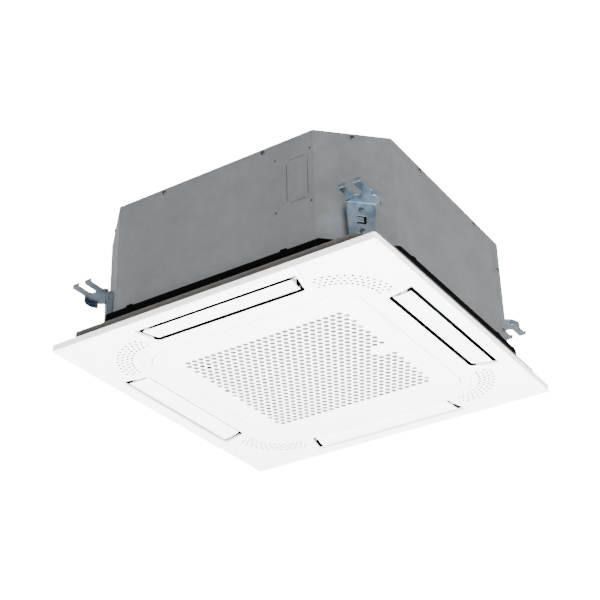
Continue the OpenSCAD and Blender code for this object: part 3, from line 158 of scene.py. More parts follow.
class Piece:
    """A mesh object under construction, in the frame's axes and in metres."""

    def __init__(self, name: str, mesh: Optional[bpy.types.Mesh] = None) -> None:
        """Starts a piece."""
        self.obj = bpy.data.objects.new(name, mesh or bpy.data.meshes.new(name))
        bpy.context.scene.collection.objects.link(self.obj)

    @classmethod
    def from_lists(cls, name: str, points: Sequence[Sequence[float]],
                   faces: Sequence[Sequence[int]]) -> "Piece":
        """Makes a piece from points in millimetres.

        Args:
            name: Name of the object.
            points: Corner points.
            faces: Indices of each face's points.

        Returns:
            The new piece.
        """
        piece = cls(name)
        piece.obj.data.from_pydata([(x * MM, y * MM, z * MM) for x, y, z in points], [], faces)
        piece.obj.data.update()
        return piece

    @classmethod
    def from_node(cls, node: str, name: Optional[str] = None,
                  above: Optional[float] = None) -> "Piece":
        """Copies a CAD node's mesh and merges its faces.

        Args:
            node: Name of the CAD node.
            name: Name of the new object, or none for the node's name with a suffix.
            above: Height in millimetres below which the copy is cut away, or none.

        Returns:
            The new piece.
        """
        piece = cls(name or node + "_dressed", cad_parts[node].data.copy())
        piece.obj.data.materials.clear()
        with piece.editing() as bm:
            bmesh.ops.remove_doubles(bm, verts=bm.verts, dist=WELD)
            if above is not None:
                cut = bmesh.ops.bisect_plane(
                    bm, geom=bm.verts[:] + bm.edges[:] + bm.faces[:], dist=EXACT,
                    plane_co=(0, 0, above * MM), plane_no=(0, 0, 1), clear_inner=True)
                level = [f for f in bm.faces if all(abs(v.co.z - above * MM) < 1e-6
                                                    for v in f.verts)]
                bmesh.ops.delete(bm, geom=level, context="FACES")
                rim = [e for e in bm.edges if len(e.link_faces) < 2]
                bmesh.ops.delete(bm, geom=[e for e in rim if not e.link_faces],
                                 context="EDGES")
                cls.cap(bm, [e for e in bm.edges if len(e.link_faces) == 1])
            bmesh.ops.dissolve_limit(bm, angle_limit=math.radians(MERGE_ANGLE), verts=bm.verts,
                                     edges=bm.edges, delimit={"NORMAL"})
            bmesh.ops.recalc_face_normals(bm, faces=bm.faces)
        return piece

    @staticmethod
    def cap(bm: bmesh.types.BMesh, rim: Sequence[bmesh.types.BMEdge]) -> None:
        """Closes a level cut with faces wherever there is material.

        Args:
            bm: The edit mesh.
            rim: Open edges of the cut.
        """
        verts = list({vert for edge in rim for vert in edge.verts})
        place = {vert: i for i, vert in enumerate(verts)}
        ends = [(place[edge.verts[0]], place[edge.verts[1]]) for edge in rim]
        for corners in filled([vert.co.xy for vert in verts], ends, 0):
            bm.faces.new([verts[i] for i in corners])

    def editing(self) -> "Editing":
        """Opens the mesh for editing in a with block."""
        return Editing(self.obj.data)

    def box(self, low: Sequence[float], high: Sequence[float]) -> "Piece":
        """Adds a closed box.

        Args:
            low: Lowest corner in millimetres.
            high: Highest corner in millimetres.

        Returns:
            This piece.
        """
        size = [(h - l) * MM for l, h in zip(low, high)]
        mid = [(h + l) / 2 * MM for l, h in zip(low, high)]
        with self.editing() as bm:
            bmesh.ops.create_cube(bm, size=1.0,
                                  matrix=Matrix.Translation(mid) @ Matrix.Diagonal((*size, 1)))
        return self

    def rod(self, start: Sequence[float], end: Sequence[float], radius: float,
            steps: int = 40) -> "Piece":
        """Adds a closed round rod.

        Args:
            start: Centre of one end in millimetres.
            end: Centre of the other end in millimetres.
            radius: Radius in millimetres.
            steps: Number of sides.

        Returns:
            This piece.
        """
        a, b = Vector(start) * MM, Vector(end) * MM
        turn = (b - a).to_track_quat("Z", "Y").to_matrix().to_4x4()
        with self.editing() as bm:
            bmesh.ops.create_cone(bm, cap_ends=True, segments=steps, radius1=radius * MM,
                                  radius2=radius * MM, depth=(b - a).length,
                                  matrix=Matrix.Translation((a + b) / 2) @ turn)
        return self

    def join(self, other: "Piece") -> "Piece":
        """Takes over another piece's mesh.

        Args:
            other: Piece that is used up.

        Returns:
            This piece.
        """
        with self.editing() as bm:
            bm.from_mesh(other.obj.data)
        other.discard()
        return self

    def turn(self, degrees: float) -> "Piece":
        """Turns the mesh about the vertical axis."""
        self.obj.data.transform(Matrix.Rotation(math.radians(degrees), 4, "Z"))
        return self

    def bevel(self, width: float, segments: int = 2, angle: float = 35,
              rule: Optional[Callable[[bmesh.types.BMEdge], float]] = None) -> "Piece":
        """Rounds the sharp edges.

        Args:
            width: Width of the rounding in millimetres.
            segments: Steps across the rounding.
            angle: Smallest angle of an edge that is rounded, in degrees.
            rule: Gives each edge's share of the width, instead of the angle alone.

        Returns:
            This piece.
        """
        modifier = self.obj.modifiers.new("Rounding", "BEVEL")
        modifier.width = width * MM
        modifier.segments = segments
        modifier.use_clamp_overlap = False
        modifier.miter_outer = "MITER_SHARP"
        if rule is None:
            modifier.limit_method = "ANGLE"
            modifier.angle_limit = math.radians(angle)
        else:
            modifier.limit_method = "WEIGHT"
            with self.editing() as bm:
                layer = bm.edges.layers.float.new("bevel_weight_edge")
                for edge in bm.edges:
                    edge[layer] = rule(edge)
        return self.bake()

    def cut(self, cutter: "Piece") -> "Piece":
        """Takes another piece's volume out of this one.

        Args:
            cutter: Piece that is used up.

        Returns:
            This piece.
        """
        modifier = self.obj.modifiers.new("Cut", "BOOLEAN")
        modifier.operation = "DIFFERENCE"
        modifier.solver = "MANIFOLD"
        modifier.object = cutter.obj
        self.bake()
        cutter.discard()
        return self

    def grow(self, tree: bpy.types.NodeTree, **values: object) -> "Piece":
        """Runs a geometry node tree on the mesh.

        Args:
            tree: The tree.
            **values: Value of each named input, with blanks written as underscores.

        Returns:
            This piece.
        """
        modifier = self.obj.modifiers.new("Nodes", "NODES")
        modifier.node_group = tree
        wanted = {name.replace("_", " "): value for name, value in values.items()}
        for item in tree.interface.items_tree:
            if item.item_type == "SOCKET" and item.in_out == "INPUT" and item.name in wanted:
                modifier[item.identifier] = wanted.pop(item.name)
        if wanted:
            raise KeyError(f"{tree.name} has no input {sorted(wanted)}")
        return self.bake()

    def bake(self) -> "Piece":
        """Turns the modifiers' result into the plain mesh.

        Returns:
            This piece.
        """
        bpy.context.view_layer.update()
        graph = bpy.context.evaluated_depsgraph_get()
        mesh = bpy.data.meshes.new_from_object(self.obj.evaluated_get(graph), depsgraph=graph)
        self.obj.modifiers.clear()
        self.obj.data = mesh
        return self

    def shade(self, angle: float = 32) -> "Piece":
        """Shades the mesh smooth but for its sharp edges, with flat faces kept flat.

        Args:
            angle: Smallest angle of an edge that stays sharp, in degrees.

        Returns:
            This piece.
        """
        mesh = self.obj.data
        mesh.polygons.foreach_set("use_smooth", [True] * len(mesh.polygons))
        mesh.set_sharp_from_angle(angle=math.radians(angle))
        modifier = self.obj.modifiers.new("Normals", "WEIGHTED_NORMAL")
        modifier.keep_sharp = True
        modifier.weight = 50
        return self.bake()

    def discard(self) -> None:
        """Removes the object and its mesh."""
        mesh = self.obj.data
        bpy.data.objects.remove(self.obj)
        bpy.data.meshes.remove(mesh)

    def done(self, finish: "Finish", body: str, *nodes: str) -> None:
        """Paints the piece and hands it to the frame.

        Args:
            finish: The finish, whose slot goes into the material's name.
            body: CAD body that carries the piece.
            *nodes: CAD nodes that the piece stands for.
        """
        self.obj.data.materials.clear()
        self.obj.data.materials.append(finish.material())
        for polygon in self.obj.data.polygons:
            polygon.material_index = 0
        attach(self.obj, body)
        if nodes:
            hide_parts(*nodes)
        LOG.info("%s: %d faces on %s, for %s", self.obj.name, len(self.obj.data.polygons), body,
                 ", ".join(nodes) or "no node")


class Editing:
    """Gives a mesh's edit form in a with block and writes it back at the end."""

    def __init__(self, mesh: bpy.types.Mesh) -> None:
        """Keeps the mesh."""
        self.mesh = mesh

    def __enter__(self) -> bmesh.types.BMesh:
        """Opens the edit form.

        Returns:
            The edit mesh.
        """
        self.bm = bmesh.new()
        self.bm.from_mesh(self.mesh)
        return self.bm

    def __exit__(self, *problem: object) -> None:
        """Writes the edit form back, unless something went wrong.

        Args:
            *problem: What went wrong, or none.
        """
        if problem[0] is None:
            self.bm.to_mesh(self.mesh)
        self.bm.free()


class Plate:
    """A flat plate with any outline and openings, whose lower edges are rounded."""

    SHARPEST = 0.35

    def __init__(self, low: float, high: float, steps: int = 5) -> None:
        """Starts a plate."""
        self.low, self.high, self.steps = low, high, steps
        self.loops: list[tuple[list[Point], list[Point]]] = []

    def outline(self, points: Sequence[Point],
                rounding: Callable[[Point], Point] | float) -> "Plate":
        """Adds an outline, with the material on its left.

        Args:
            points: The outline, counter-clockwise outside and clockwise round an opening.
            rounding: Depth into the face and height of the rounded edge, for each point.

        Returns:
            This plate.
        """
        rule = rounding if callable(rounding) else lambda point: (rounding, rounding)
        points = list(points)
        self.loops.append((points, [rule(p) for p in points]))
        return self

    @staticmethod
    def inward(points: Sequence[Point]) -> list[Vector]:
        """Directions from an outline's points into the material.

        Args:
            points: A closed outline.

        Returns:
            One direction for each point, longer at corners.
        """
        result = []
        for i, here in enumerate(points):
            before = (Vector(here) - Vector(points[i - 1])).normalized()
            after = (Vector(points[(i + 1) % len(points)]) - Vector(here)).normalized()
            a, b = Vector((-before.y, before.x)), Vector((-after.y, after.x))
            result.append((a + b) / max(1 + a.dot(b), Plate.SHARPEST))
        return result

    def build(self, name: str) -> Piece:
        """Makes the closed mesh.

        Args:
            name: Name of the object.

        Returns:
            The plate as a piece.
        """
        verts: list[tuple[float, float, float]] = []
        faces: list[tuple[int, ...]] = []
        lower: list[list[int]] = []
        upper: list[list[int]] = []
        for points, rounding in self.loops:
            inward = self.inward(points)
            rings = []
            for k in range(self.steps + 2):
                angle = min(k / self.steps, 1) * math.pi / 2
                ring = []
                for p, d, (inset, rise) in zip(points, inward, rounding):
                    shift = d * inset * (1 - math.sin(angle))
                    z = self.low + rise * (1 - math.cos(angle)) if k <= self.steps else self.high
                    ring.append(len(verts))
                    verts.append((p[0] + shift.x, p[1] + shift.y, z))
                rings.append(ring)
            for a, b in zip(rings, rings[1:]):
                faces += [(a[i], a[(i + 1) % len(a)], b[(i + 1) % len(a)], b[i])
                          for i in range(len(a))]
            lower.append(rings[0])
            upper.append(rings[-1])
        for rings, top in ((lower, False), (upper, True)):
            flat = [i for ring in rings for i in ring]
            place = {v: i for i, v in enumerate(flat)}
            edges = [(place[r[i]], place[r[(i + 1) % len(r)]]) for r in rings
                     for i in range(len(r))]
            for triangle in filled([Vector(verts[i][:2]) for i in flat], edges, 1):
                corners = [flat[i] for i in triangle]
                faces.append(tuple(corners if top else reversed(corners)))
        return Piece.from_lists(name, verts, faces)


# Shader graphs

def plug(tree: bpy.types.NodeTree, socket: bpy.types.NodeSocket, value: object) -> None:
    """Sets a socket, or joins it to another one.

    Args:
        tree: The tree that holds the socket.
        socket: The input.
        value: Value or output for it.
    """
    if isinstance(value, bpy.types.NodeSocket):
        tree.links.new(value, socket)
    else:
        socket.default_value = value


class ShaderGraph:
    """A material's node tree, with short forms for the nodes that the finishes use."""

    def __init__(self, name: str) -> None:
        """Makes a material with one principled surface.

        Args:
            name: Name of the material.
        """
        self.material = bpy.data.materials.new(name)
        self.material.use_nodes = True
        self.tree = self.material.node_tree
        self.tree.nodes.clear()
        output = self.add("ShaderNodeOutputMaterial")
        self.surface = self.add("ShaderNodeBsdfPrincipled")
        self.tree.links.new(self.surface.outputs["BSDF"], output.inputs["Surface"])
        self.place = self.add("ShaderNodeTexCoord").outputs["Object"]

    def add(self, kind: str, **settings: object) -> bpy.types.Node:
        """Adds a node.

        Args:
            kind: Type of the node.
            **settings: Properties of the node.

        Returns:
            The node.
        """
        node = self.tree.nodes.new(kind)
        for key, value in settings.items():
            setattr(node, key, value)
        return node

    def feed(self, node: bpy.types.Node, **values: object) -> bpy.types.Node:
        """Sets or joins a node's inputs.

        Args:
            node: The node.
            **values: Number, colour or socket for each named input, blanks as underscores.

        Returns:
            The node.
        """
        for key, value in values.items():
            plug(self.tree, node.inputs[key.replace("_", " ")], value)
        return node

    def stretch(self, scale: Sequence[float]) -> bpy.types.NodeSocket:
        """Object coordinates with a scale of their own along each axis.

        Args:
            scale: Scale along X, Y and Z.

        Returns:
            The coordinates.
        """
        node = self.feed(self.add("ShaderNodeMapping"), Vector=self.place)
        node.inputs["Scale"].default_value = scale
        return node.outputs["Vector"]

    def wavy(self, scale: float, shift: float) -> bpy.types.NodeSocket:
        """Object coordinates moved about by a noise.

        Args:
            scale: Scale of the noise, per metre.
            shift: Largest move in metres.

        Returns:
            The coordinates.
        """
        noise = self.feed(self.add("ShaderNodeTexNoise"), Vector=self.place, Scale=scale)
        moved = self.add("ShaderNodeVectorMath", operation="MULTIPLY_ADD")
        for socket, value in zip(moved.inputs, (noise.outputs["Color"], (shift,) * 3, self.place)):
            plug(self.tree, socket, value)
        return moved.outputs["Vector"]

    def noise(self, scale: float, detail: float = 3, rough: float = 0.5,
              where: Optional[bpy.types.NodeSocket] = None) -> bpy.types.NodeSocket:
        """A noise in the object's coordinates.

        Args:
            scale: Scale of the noise, per metre.
            detail: Number of octaves.
            rough: Strength of the finer octaves.
            where: Coordinates, or none for the object's own.

        Returns:
            The noise's value.
        """
        node = self.feed(self.add("ShaderNodeTexNoise"), Vector=where or self.place, Scale=scale,
                         Detail=detail, Roughness=rough)
        return node.outputs["Fac"]

    def cells(self, scale: float, feature: str = "F1", output: str = "Distance",
              where: Optional[bpy.types.NodeSocket] = None) -> bpy.types.NodeSocket:
        """A cell pattern in the object's coordinates.

        Args:
            scale: Scale of the pattern, per metre.
            feature: Which feature of the cells.
            output: Which output of the node.
            where: Coordinates, or none for the object's own.

        Returns:
            The chosen output.
        """
        node = self.feed(self.add("ShaderNodeTexVoronoi", feature=feature),
                         Vector=where or self.place, Scale=scale)
        return node.outputs[output]

    def ramp(self, value: bpy.types.NodeSocket,
             stops: Sequence[tuple[float, Colour]]) -> bpy.types.NodeSocket:
        """Turns a value into a colour.

        Args:
            value: The value.
            stops: Place and colour of each stop.

        Returns:
            The colour.
        """
        node = self.feed(self.add("ShaderNodeValToRGB"), Fac=value)
        ramp = node.color_ramp
        while len(ramp.elements) < len(stops):
            ramp.elements.new(0.5)
        for element, (place, colour) in zip(ramp.elements, stops):
            element.position = place
            element.color = (*colour, 1)
        return node.outputs["Color"]

    def span(self, value: bpy.types.NodeSocket, low: float, high: float,
             start: float = 0.3, end: float = 0.7) -> bpy.types.NodeSocket:
        """Maps a value from one span to another.

        Args:
            value: The value.
            low: Result at the start.
            high: Result at the end.
            start: Value at the start.
            end: Value at the end.

        Returns:
            The mapped value.
        """
        node = self.feed(self.add("ShaderNodeMapRange"), Value=value, From_Min=start,
                         From_Max=end, To_Min=low, To_Max=high)
        return node.outputs["Result"]

    def maths(self, kind: str, a: object, b: object = 0.0) -> bpy.types.NodeSocket:
        """Works out a value from two others.

        Args:
            kind: The operation.
            a: First value.
            b: Second value.

        Returns:
            The result.
        """
        node = self.add("ShaderNodeMath", operation=kind)
        for socket, value in zip(node.inputs, (a, b)):
            plug(self.tree, socket, value)
        return node.outputs["Value"]

    def parts(self, vector: bpy.types.NodeSocket) -> bpy.types.bpy_prop_collection:
        """Splits a vector."""
        return self.feed(self.add("ShaderNodeSeparateXYZ"), Vector=vector).outputs

    def toned(self, tone: bpy.types.NodeSocket, colour: object) -> bpy.types.NodeSocket:
        """Makes a colour lighter or darker.

        Args:
            tone: Factor of its brightness.
            colour: The colour, or the socket that gives it.

        Returns:
            The changed colour.
        """
        given = colour if isinstance(colour, bpy.types.NodeSocket) else (*colour, 1)
        node = self.feed(self.add("ShaderNodeHueSaturation"), Value=tone, Color=given)
        return node.outputs["Color"]

    def mix(self, share: object, a: object, b: object) -> bpy.types.NodeSocket:
        """Mixes two colours.

        Args:
            share: Share of the second colour.
            a: First colour.
            b: Second colour.

        Returns:
            The mixed colour.
        """
        node = self.add("ShaderNodeMix", data_type="RGBA")
        plug(self.tree, node.inputs[0], share)
        for index, colour in ((6, a), (7, b)):
            given = colour if isinstance(colour, bpy.types.NodeSocket) else (*colour, 1)
            plug(self.tree, node.inputs[index], given)
        return node.outputs[2]

    def bump(self, height: bpy.types.NodeSocket, depth: float, strength: float) -> None:
        """Gives the surface a relief.

        Args:
            height: The height.
            depth: Depth of the relief in metres.
            strength: Strength of the relief.
        """
        node = self.feed(self.add("ShaderNodeBump"), Height=height, Distance=depth,
                         Strength=strength)
        self.feed(self.surface, Normal=node.outputs["Normal"])


@dataclass(frozen=True)
class Finish:
    """A surface finish: the slot that names its material, its colour and how shiny it is."""

    slot: str
    colour: Colour
    roughness: float = 0.5
    use: str = "general"

    def material(self) -> bpy.types.Material:
        """The finish's material, made once.

        Returns:
            The material.
        """
        name = f"{self.slot}_{type(self).__name__}_{self.use}"
        if name not in bpy.data.materials:
            graph = ShaderGraph(name)
            graph.material.diffuse_color = (*self.colour, 1)
            graph.feed(graph.surface, Base_Color=(*self.colour, 1), Roughness=self.roughness)
            self.paint(graph)
        return bpy.data.materials[name]

    def paint(self, graph: ShaderGraph) -> None:
        """Adds what sets this finish apart."""
        raise NotImplementedError


@dataclass(frozen=True)
class MouldedPlastic(Finish):
    """Moulded plastic with a fine grain and hardly visible clouds."""

    grain: float = 9e-6
    clouds: float = 0.015
    sheen: float = 0.5

    def paint(self, graph: ShaderGraph) -> None:
        """Adds the grain and the clouds.

        Args:
            graph: The material's graph.
        """
        tone = graph.span(graph.noise(scale=9, detail=3), 1 - self.clouds, 1 + self.clouds)
        rough = graph.span(graph.noise(scale=40, detail=2), self.roughness - 0.04, self.roughness + 0.04)
        graph.feed(graph.surface, Base_Color=graph.toned(tone, self.colour), Roughness=rough,
                   Specular_IOR_Level=self.sheen)
        graph.bump(graph.noise(scale=2600, detail=1), self.grain, 0.5)


@dataclass(frozen=True)
class GalvanisedSheet(Finish):
    """Zinc-coated sheet: soft clouds, faint crystals and rolling lines."""

    crystals: float = 0.03

    def paint(self, graph: ShaderGraph) -> None:
        """Adds clouds, crystals and rolling lines.

        Args:
            graph: The material's graph.
        """
        r, g, b = self.colour
        clouds = graph.noise(scale=11, detail=3, rough=0.55)
        tint = graph.ramp(clouds, [(0.3, (r * 0.96, g * 0.975, b * 0.99)),
                                   (0.5, (r, g, b)),
                                   (0.7, (r * 1.035, g * 1.03, b * 1.01))])
        crystal = graph.cells(95, output="Color", where=graph.wavy(60, 0.012))
        grey = graph.feed(graph.add("ShaderNodeRGBToBW"), Color=crystal)
        tone = graph.span(grey.outputs["Val"], 1 - self.crystals, 1 + self.crystals, 0.2, 0.8)
        graph.feed(graph.surface, Base_Color=graph.toned(tone, tint), Metallic=1.0)
        soft = graph.span(clouds, self.roughness - 0.02, self.roughness + 0.03)
        each = graph.span(grey.outputs["Val"], -0.02, 0.02, 0.2, 0.8)
        graph.feed(graph.surface, Roughness=graph.maths("ADD", soft, each))
        rolled = graph.noise(scale=300, detail=2, where=graph.stretch((1, 1, 0.04)))
        graph.bump(rolled, 8e-6, 0.4)


@dataclass(frozen=True)
class PlatedSteel(Finish):
    """Bright zinc-plated steel with a bluish and yellowish cast in places."""

    cast: Colour = (0.5, 0.55, 0.62)
    # Painted shade: share of the colour kept on faces that point straight down.
    below: float = 0.4

    def paint(self, graph: ShaderGraph) -> None:
        """Adds the cast, painted shade that darkens faces turned downwards, and fine drawing lines.

        Args:
            graph: The material's graph.
        """
        r, g, b = self.colour
        cloud = graph.noise(scale=38, detail=3, rough=0.6)
        tint = graph.ramp(cloud, [(0.32, self.cast), (0.52, (r, g, b)),
                                  (0.72, (r * 1.02, g * 0.98, b * 0.9))])
        # Painted shade: faces turned downwards get darker by the Z of their normal.
        facing = graph.add("ShaderNodeTexCoord").outputs["Normal"]
        light = graph.span(graph.parts(facing)["Z"], self.below, 1, -0.9, -0.2)
        graph.feed(graph.surface, Base_Color=graph.toned(light, tint), Metallic=1.0,
                   Roughness=graph.span(graph.noise(scale=90, detail=3), self.roughness - 0.06,
                                        self.roughness + 0.08))
        graph.bump(graph.noise(scale=700, detail=2, where=graph.stretch((1, 1, 0.12))), 1.2e-5, 0.5)


@dataclass(frozen=True)
class BareMetal(Finish):
    """Drawn, turned or ground metal."""

    tarnish: float = 0.12

    def paint(self, graph: ShaderGraph) -> None:
        """Adds a light tarnish and turning marks.

        Args:
            graph: The material's graph.
        """
        dark = tuple(c * (1 - self.tarnish * 2) for c in self.colour)
        light = tuple(min(c * (1 + self.tarnish), 1) for c in self.colour)
        tint = graph.ramp(graph.noise(scale=70, detail=4, rough=0.6), [(0.3, dark), (0.7, light)])
        graph.feed(graph.surface, Base_Color=tint, Metallic=1.0,
                   Roughness=graph.span(graph.noise(scale=160, detail=2), self.roughness - 0.05,
                                        self.roughness + 0.1))
        graph.bump(graph.noise(scale=1500, detail=2), 6e-6, 0.4)


@dataclass(frozen=True)
class BeadFoam(Finish):
    """Moulded bead foam, whose beads show as faint cells."""

    bead: float = 330
    depth: float = 6e-5
    shine: float = 0.25

    def paint(self, graph: ShaderGraph) -> None:
        """Adds the beads.

        Args:
            graph: The material's graph.
        """
        cell = graph.cells(self.bead)
        tone = graph.span(cell, 1.05, 0.9, 0.1, 0.8)
        graph.feed(graph.surface, Base_Color=graph.toned(tone, self.colour),
                   Specular_IOR_Level=self.shine)
        graph.bump(graph.maths("SUBTRACT", 1.0, cell), self.depth, 0.7)


@dataclass(frozen=True)
class SoftFoam(Finish):
    """Closed-cell foam strip or matt rubber."""

    pore: float = 900

    def paint(self, graph: ShaderGraph) -> None:
        """Adds the pores.

        Args:
            graph: The material's graph.
        """
        tone = graph.span(graph.noise(scale=25, detail=3), 0.92, 1.1)
        graph.feed(graph.surface, Base_Color=graph.toned(tone, self.colour),
                   Specular_IOR_Level=0.2)
        graph.bump(graph.noise(self.pore, 2), 8e-5, 0.6)


@dataclass(frozen=True)
class FineNet(Finish):
    """A fine woven net with threads along X and Y."""

    thread: float = 1.4

    def paint(self, graph: ShaderGraph) -> None:
        """Adds the threads and the darker gaps between them.

        Args:
            graph: The material's graph.
        """
        parts = graph.parts(graph.place)
        waves = []
        for axis in ("X", "Y"):
            turns = graph.maths("MULTIPLY", parts[axis], 2 * math.pi / (self.thread * MM))
            waves.append(graph.maths("ABSOLUTE", graph.maths("SINE", turns)))
        gap = graph.maths("MULTIPLY", waves[0], waves[1])
        dark = tuple(c * 0.62 for c in self.colour)
        graph.feed(graph.surface, Base_Color=graph.mix(graph.span(gap, 0, 1, 0.25, 0.9),
                                                       self.colour, dark))
        graph.feed(graph.surface, Specular_IOR_Level=0.3)
        graph.bump(graph.maths("SUBTRACT", 1.0, gap), 2e-4, 0.6)


@dataclass(frozen=True)
class CircuitLacquer(Finish):
    """Green lacquer over copper tracks."""

    def paint(self, graph: ShaderGraph) -> None:
        """Adds the tracks.

        Args:
            graph: The material's graph.
        """
        track = graph.cells(240, "DISTANCE_TO_EDGE")
        light = tuple(min(c * 1.9, 1) for c in self.colour)
        graph.feed(graph.surface, Coat_Weight=0.5,
                   Base_Color=graph.ramp(track, [(0.05, light), (0.09, self.colour)]))


@dataclass(frozen=True)
class DuctedPlastic(MouldedPlastic):
    """Moulded plastic with painted shade: near-black on the duct walls and corner pockets above the
    visible face.
    """

    black_above: float = 0.005
    black_from: float = 0.2275
    black_to: float = 0.291
    pocket_from: float = 0.40
    lip_above: float = 1.0
    lip_to: float = 0.2385
    # Colour and roughness of the painted shade on the hidden walls.
    painted_shade_colour: Colour = (0.0005, 0.0005, 0.0005)
    flock_roughness: float = 0.9

    def paint(self, graph: ShaderGraph) -> None:
        """Adds the plastic and then the painted shade, black with no sheen, on the hidden parts.

        Args:
            graph: The material's graph.
        """
        super().paint(graph)
        parts = graph.parts(graph.place)
        x, y = (graph.maths("ABSOLUTE", parts[axis]) for axis in ("X", "Y"))
        far = graph.maths("MAXIMUM", x, y)

        def both(a: object, b: object) -> bpy.types.NodeSocket:
            """Whether two conditions hold."""
            return graph.maths("MULTIPLY", a, b)

        def more(a: object, b: object) -> bpy.types.NodeSocket:
            """Whether one value is over another."""
            return graph.maths("GREATER_THAN", a, b)

        beyond = more(far, self.black_from)
        hidden = both(more(parts["Z"], self.black_above),
                      graph.maths("LESS_THAN", far, self.black_to))
        place = graph.maths("MAXIMUM", beyond, more(graph.maths("ADD", x, y), self.pocket_from))
        lip = both(more(parts["Z"], self.lip_above),
                   both(beyond, graph.maths("LESS_THAN", far, self.lip_to)))
        # Painted shade: the masked duct walls, corner pockets and lip top turn near-black and lose their
        # sheen, standing in for the shade there.
        black = graph.maths("MAXIMUM", both(hidden, place), lip)
        plain, rough = (graph.surface.inputs[name].links[0].from_socket
                        for name in ("Base Color", "Roughness"))
        graph.feed(graph.surface, Base_Color=graph.mix(black, plain, self.painted_shade_colour),
                   Specular_IOR_Level=graph.span(black, self.sheen, 0, 0, 1),
                   Roughness=graph.maths("MAXIMUM", rough, graph.maths(
                       "MULTIPLY", black, self.flock_roughness)))


WHITE = MouldedPlastic("panel_white", (0.86, 0.86, 0.86), 0.42)
# Painted shade in black on the duct walls and the outlets' inner lip, above the visible face.
DUCTS = DuctedPlastic("panel_white", (0.86, 0.86, 0.86), 0.42, "ducts", lip_above=0.0024)
# Painted shade in near-black on the cover's hole walls and corner pockets.
COVER = DuctedPlastic("panel_white", (0.86, 0.86, 0.86), 0.42, "cover", black_above=0.00045,
                      black_from=1.0, pocket_from=0.395, painted_shade_colour=(0.004, 0.004, 0.004))
# Painted shade in grey on the grille's hole walls and on the guides over the hole field.
INLET = DuctedPlastic("panel_white", (0.86, 0.86, 0.86), 0.42, "inlet", black_above=0.0004,
                      black_from=-1.0, black_to=0.19, pocket_from=1.0,
                      painted_shade_colour=(0.24, 0.24, 0.25))
LATCH = MouldedPlastic("latch_grey", (0.62, 0.62, 0.63), 0.45)
SEAL = SoftFoam("seal_foam", (0.105, 0.1, 0.094), 0.9)
PAN = BeadFoam("pan_black", (0.0015, 0.0015, 0.0016), 0.9, shine=0.02)
FILTER = MouldedPlastic("filter_plastic", (0.3, 0.31, 0.32), 0.6)
NET = FineNet("filter_plastic", (0.34, 0.345, 0.35), 0.8)
STEPPER = MouldedPlastic("motor_white", (0.62, 0.62, 0.59), 0.5)
BUSH = MouldedPlastic("bush_black", (0.02, 0.02, 0.02), 0.5)
SCREW = PlatedSteel("zinc_steel", (0.13, 0.15, 0.16), 0.4, "screws", (0.08, 0.1, 0.11))
ZINC = PlatedSteel("zinc_steel", (0.30, 0.36, 0.42), 0.34, "brackets",
                   (0.2, 0.27, 0.34))
GALVANISED = GalvanisedSheet("galvanised_steel", (0.345, 0.364, 0.378), 0.42,
                             crystals=0.02)
LINER = BeadFoam("liner_foam", (0.03, 0.031, 0.033), 0.85, bead=260, shine=0.1)
BELL = MouldedPlastic("bell_grey", (0.045, 0.045, 0.05), 0.45)
FAN = MouldedPlastic("fan_plastic", (0.055, 0.058, 0.064), 0.42, grain=3e-5)
CAN = MouldedPlastic("motor_black", (0.012, 0.012, 0.014), 0.35, grain=3e-5)
SHAFT = BareMetal("shaft_steel", (0.62, 0.63, 0.65), 0.22)
RUBBER = SoftFoam("rubber_black", (0.01, 0.01, 0.01), 0.85)
FINS = BareMetal("fin_aluminium", (0.72, 0.74, 0.77), 0.35, tarnish=0.05)
COPPER = BareMetal("copper", (0.72, 0.31, 0.16), 0.28)
BRASS = BareMetal("brass", (0.72, 0.5, 0.19), 0.25)
PUMP = MouldedPlastic("pump_plastic", (0.68, 0.7, 0.73), 0.45)
PIPE = MouldedPlastic("pipe_plastic", (0.7, 0.7, 0.67), 0.3)
STEM = MouldedPlastic("stem_plastic", (0.05, 0.05, 0.055), 0.5)
FLOAT = BeadFoam("float_plastic", (0.86, 0.83, 0.7), 0.8, bead=700, depth=3e-5)
BOARD = CircuitLacquer("board_green", (0.012, 0.1, 0.035), 0.35)
TERMINAL = MouldedPlastic("terminal_cream", (0.74, 0.71, 0.6), 0.45)
GLAND = MouldedPlastic("gland_black", (0.012, 0.012, 0.014), 0.5)


# Geometry node trees

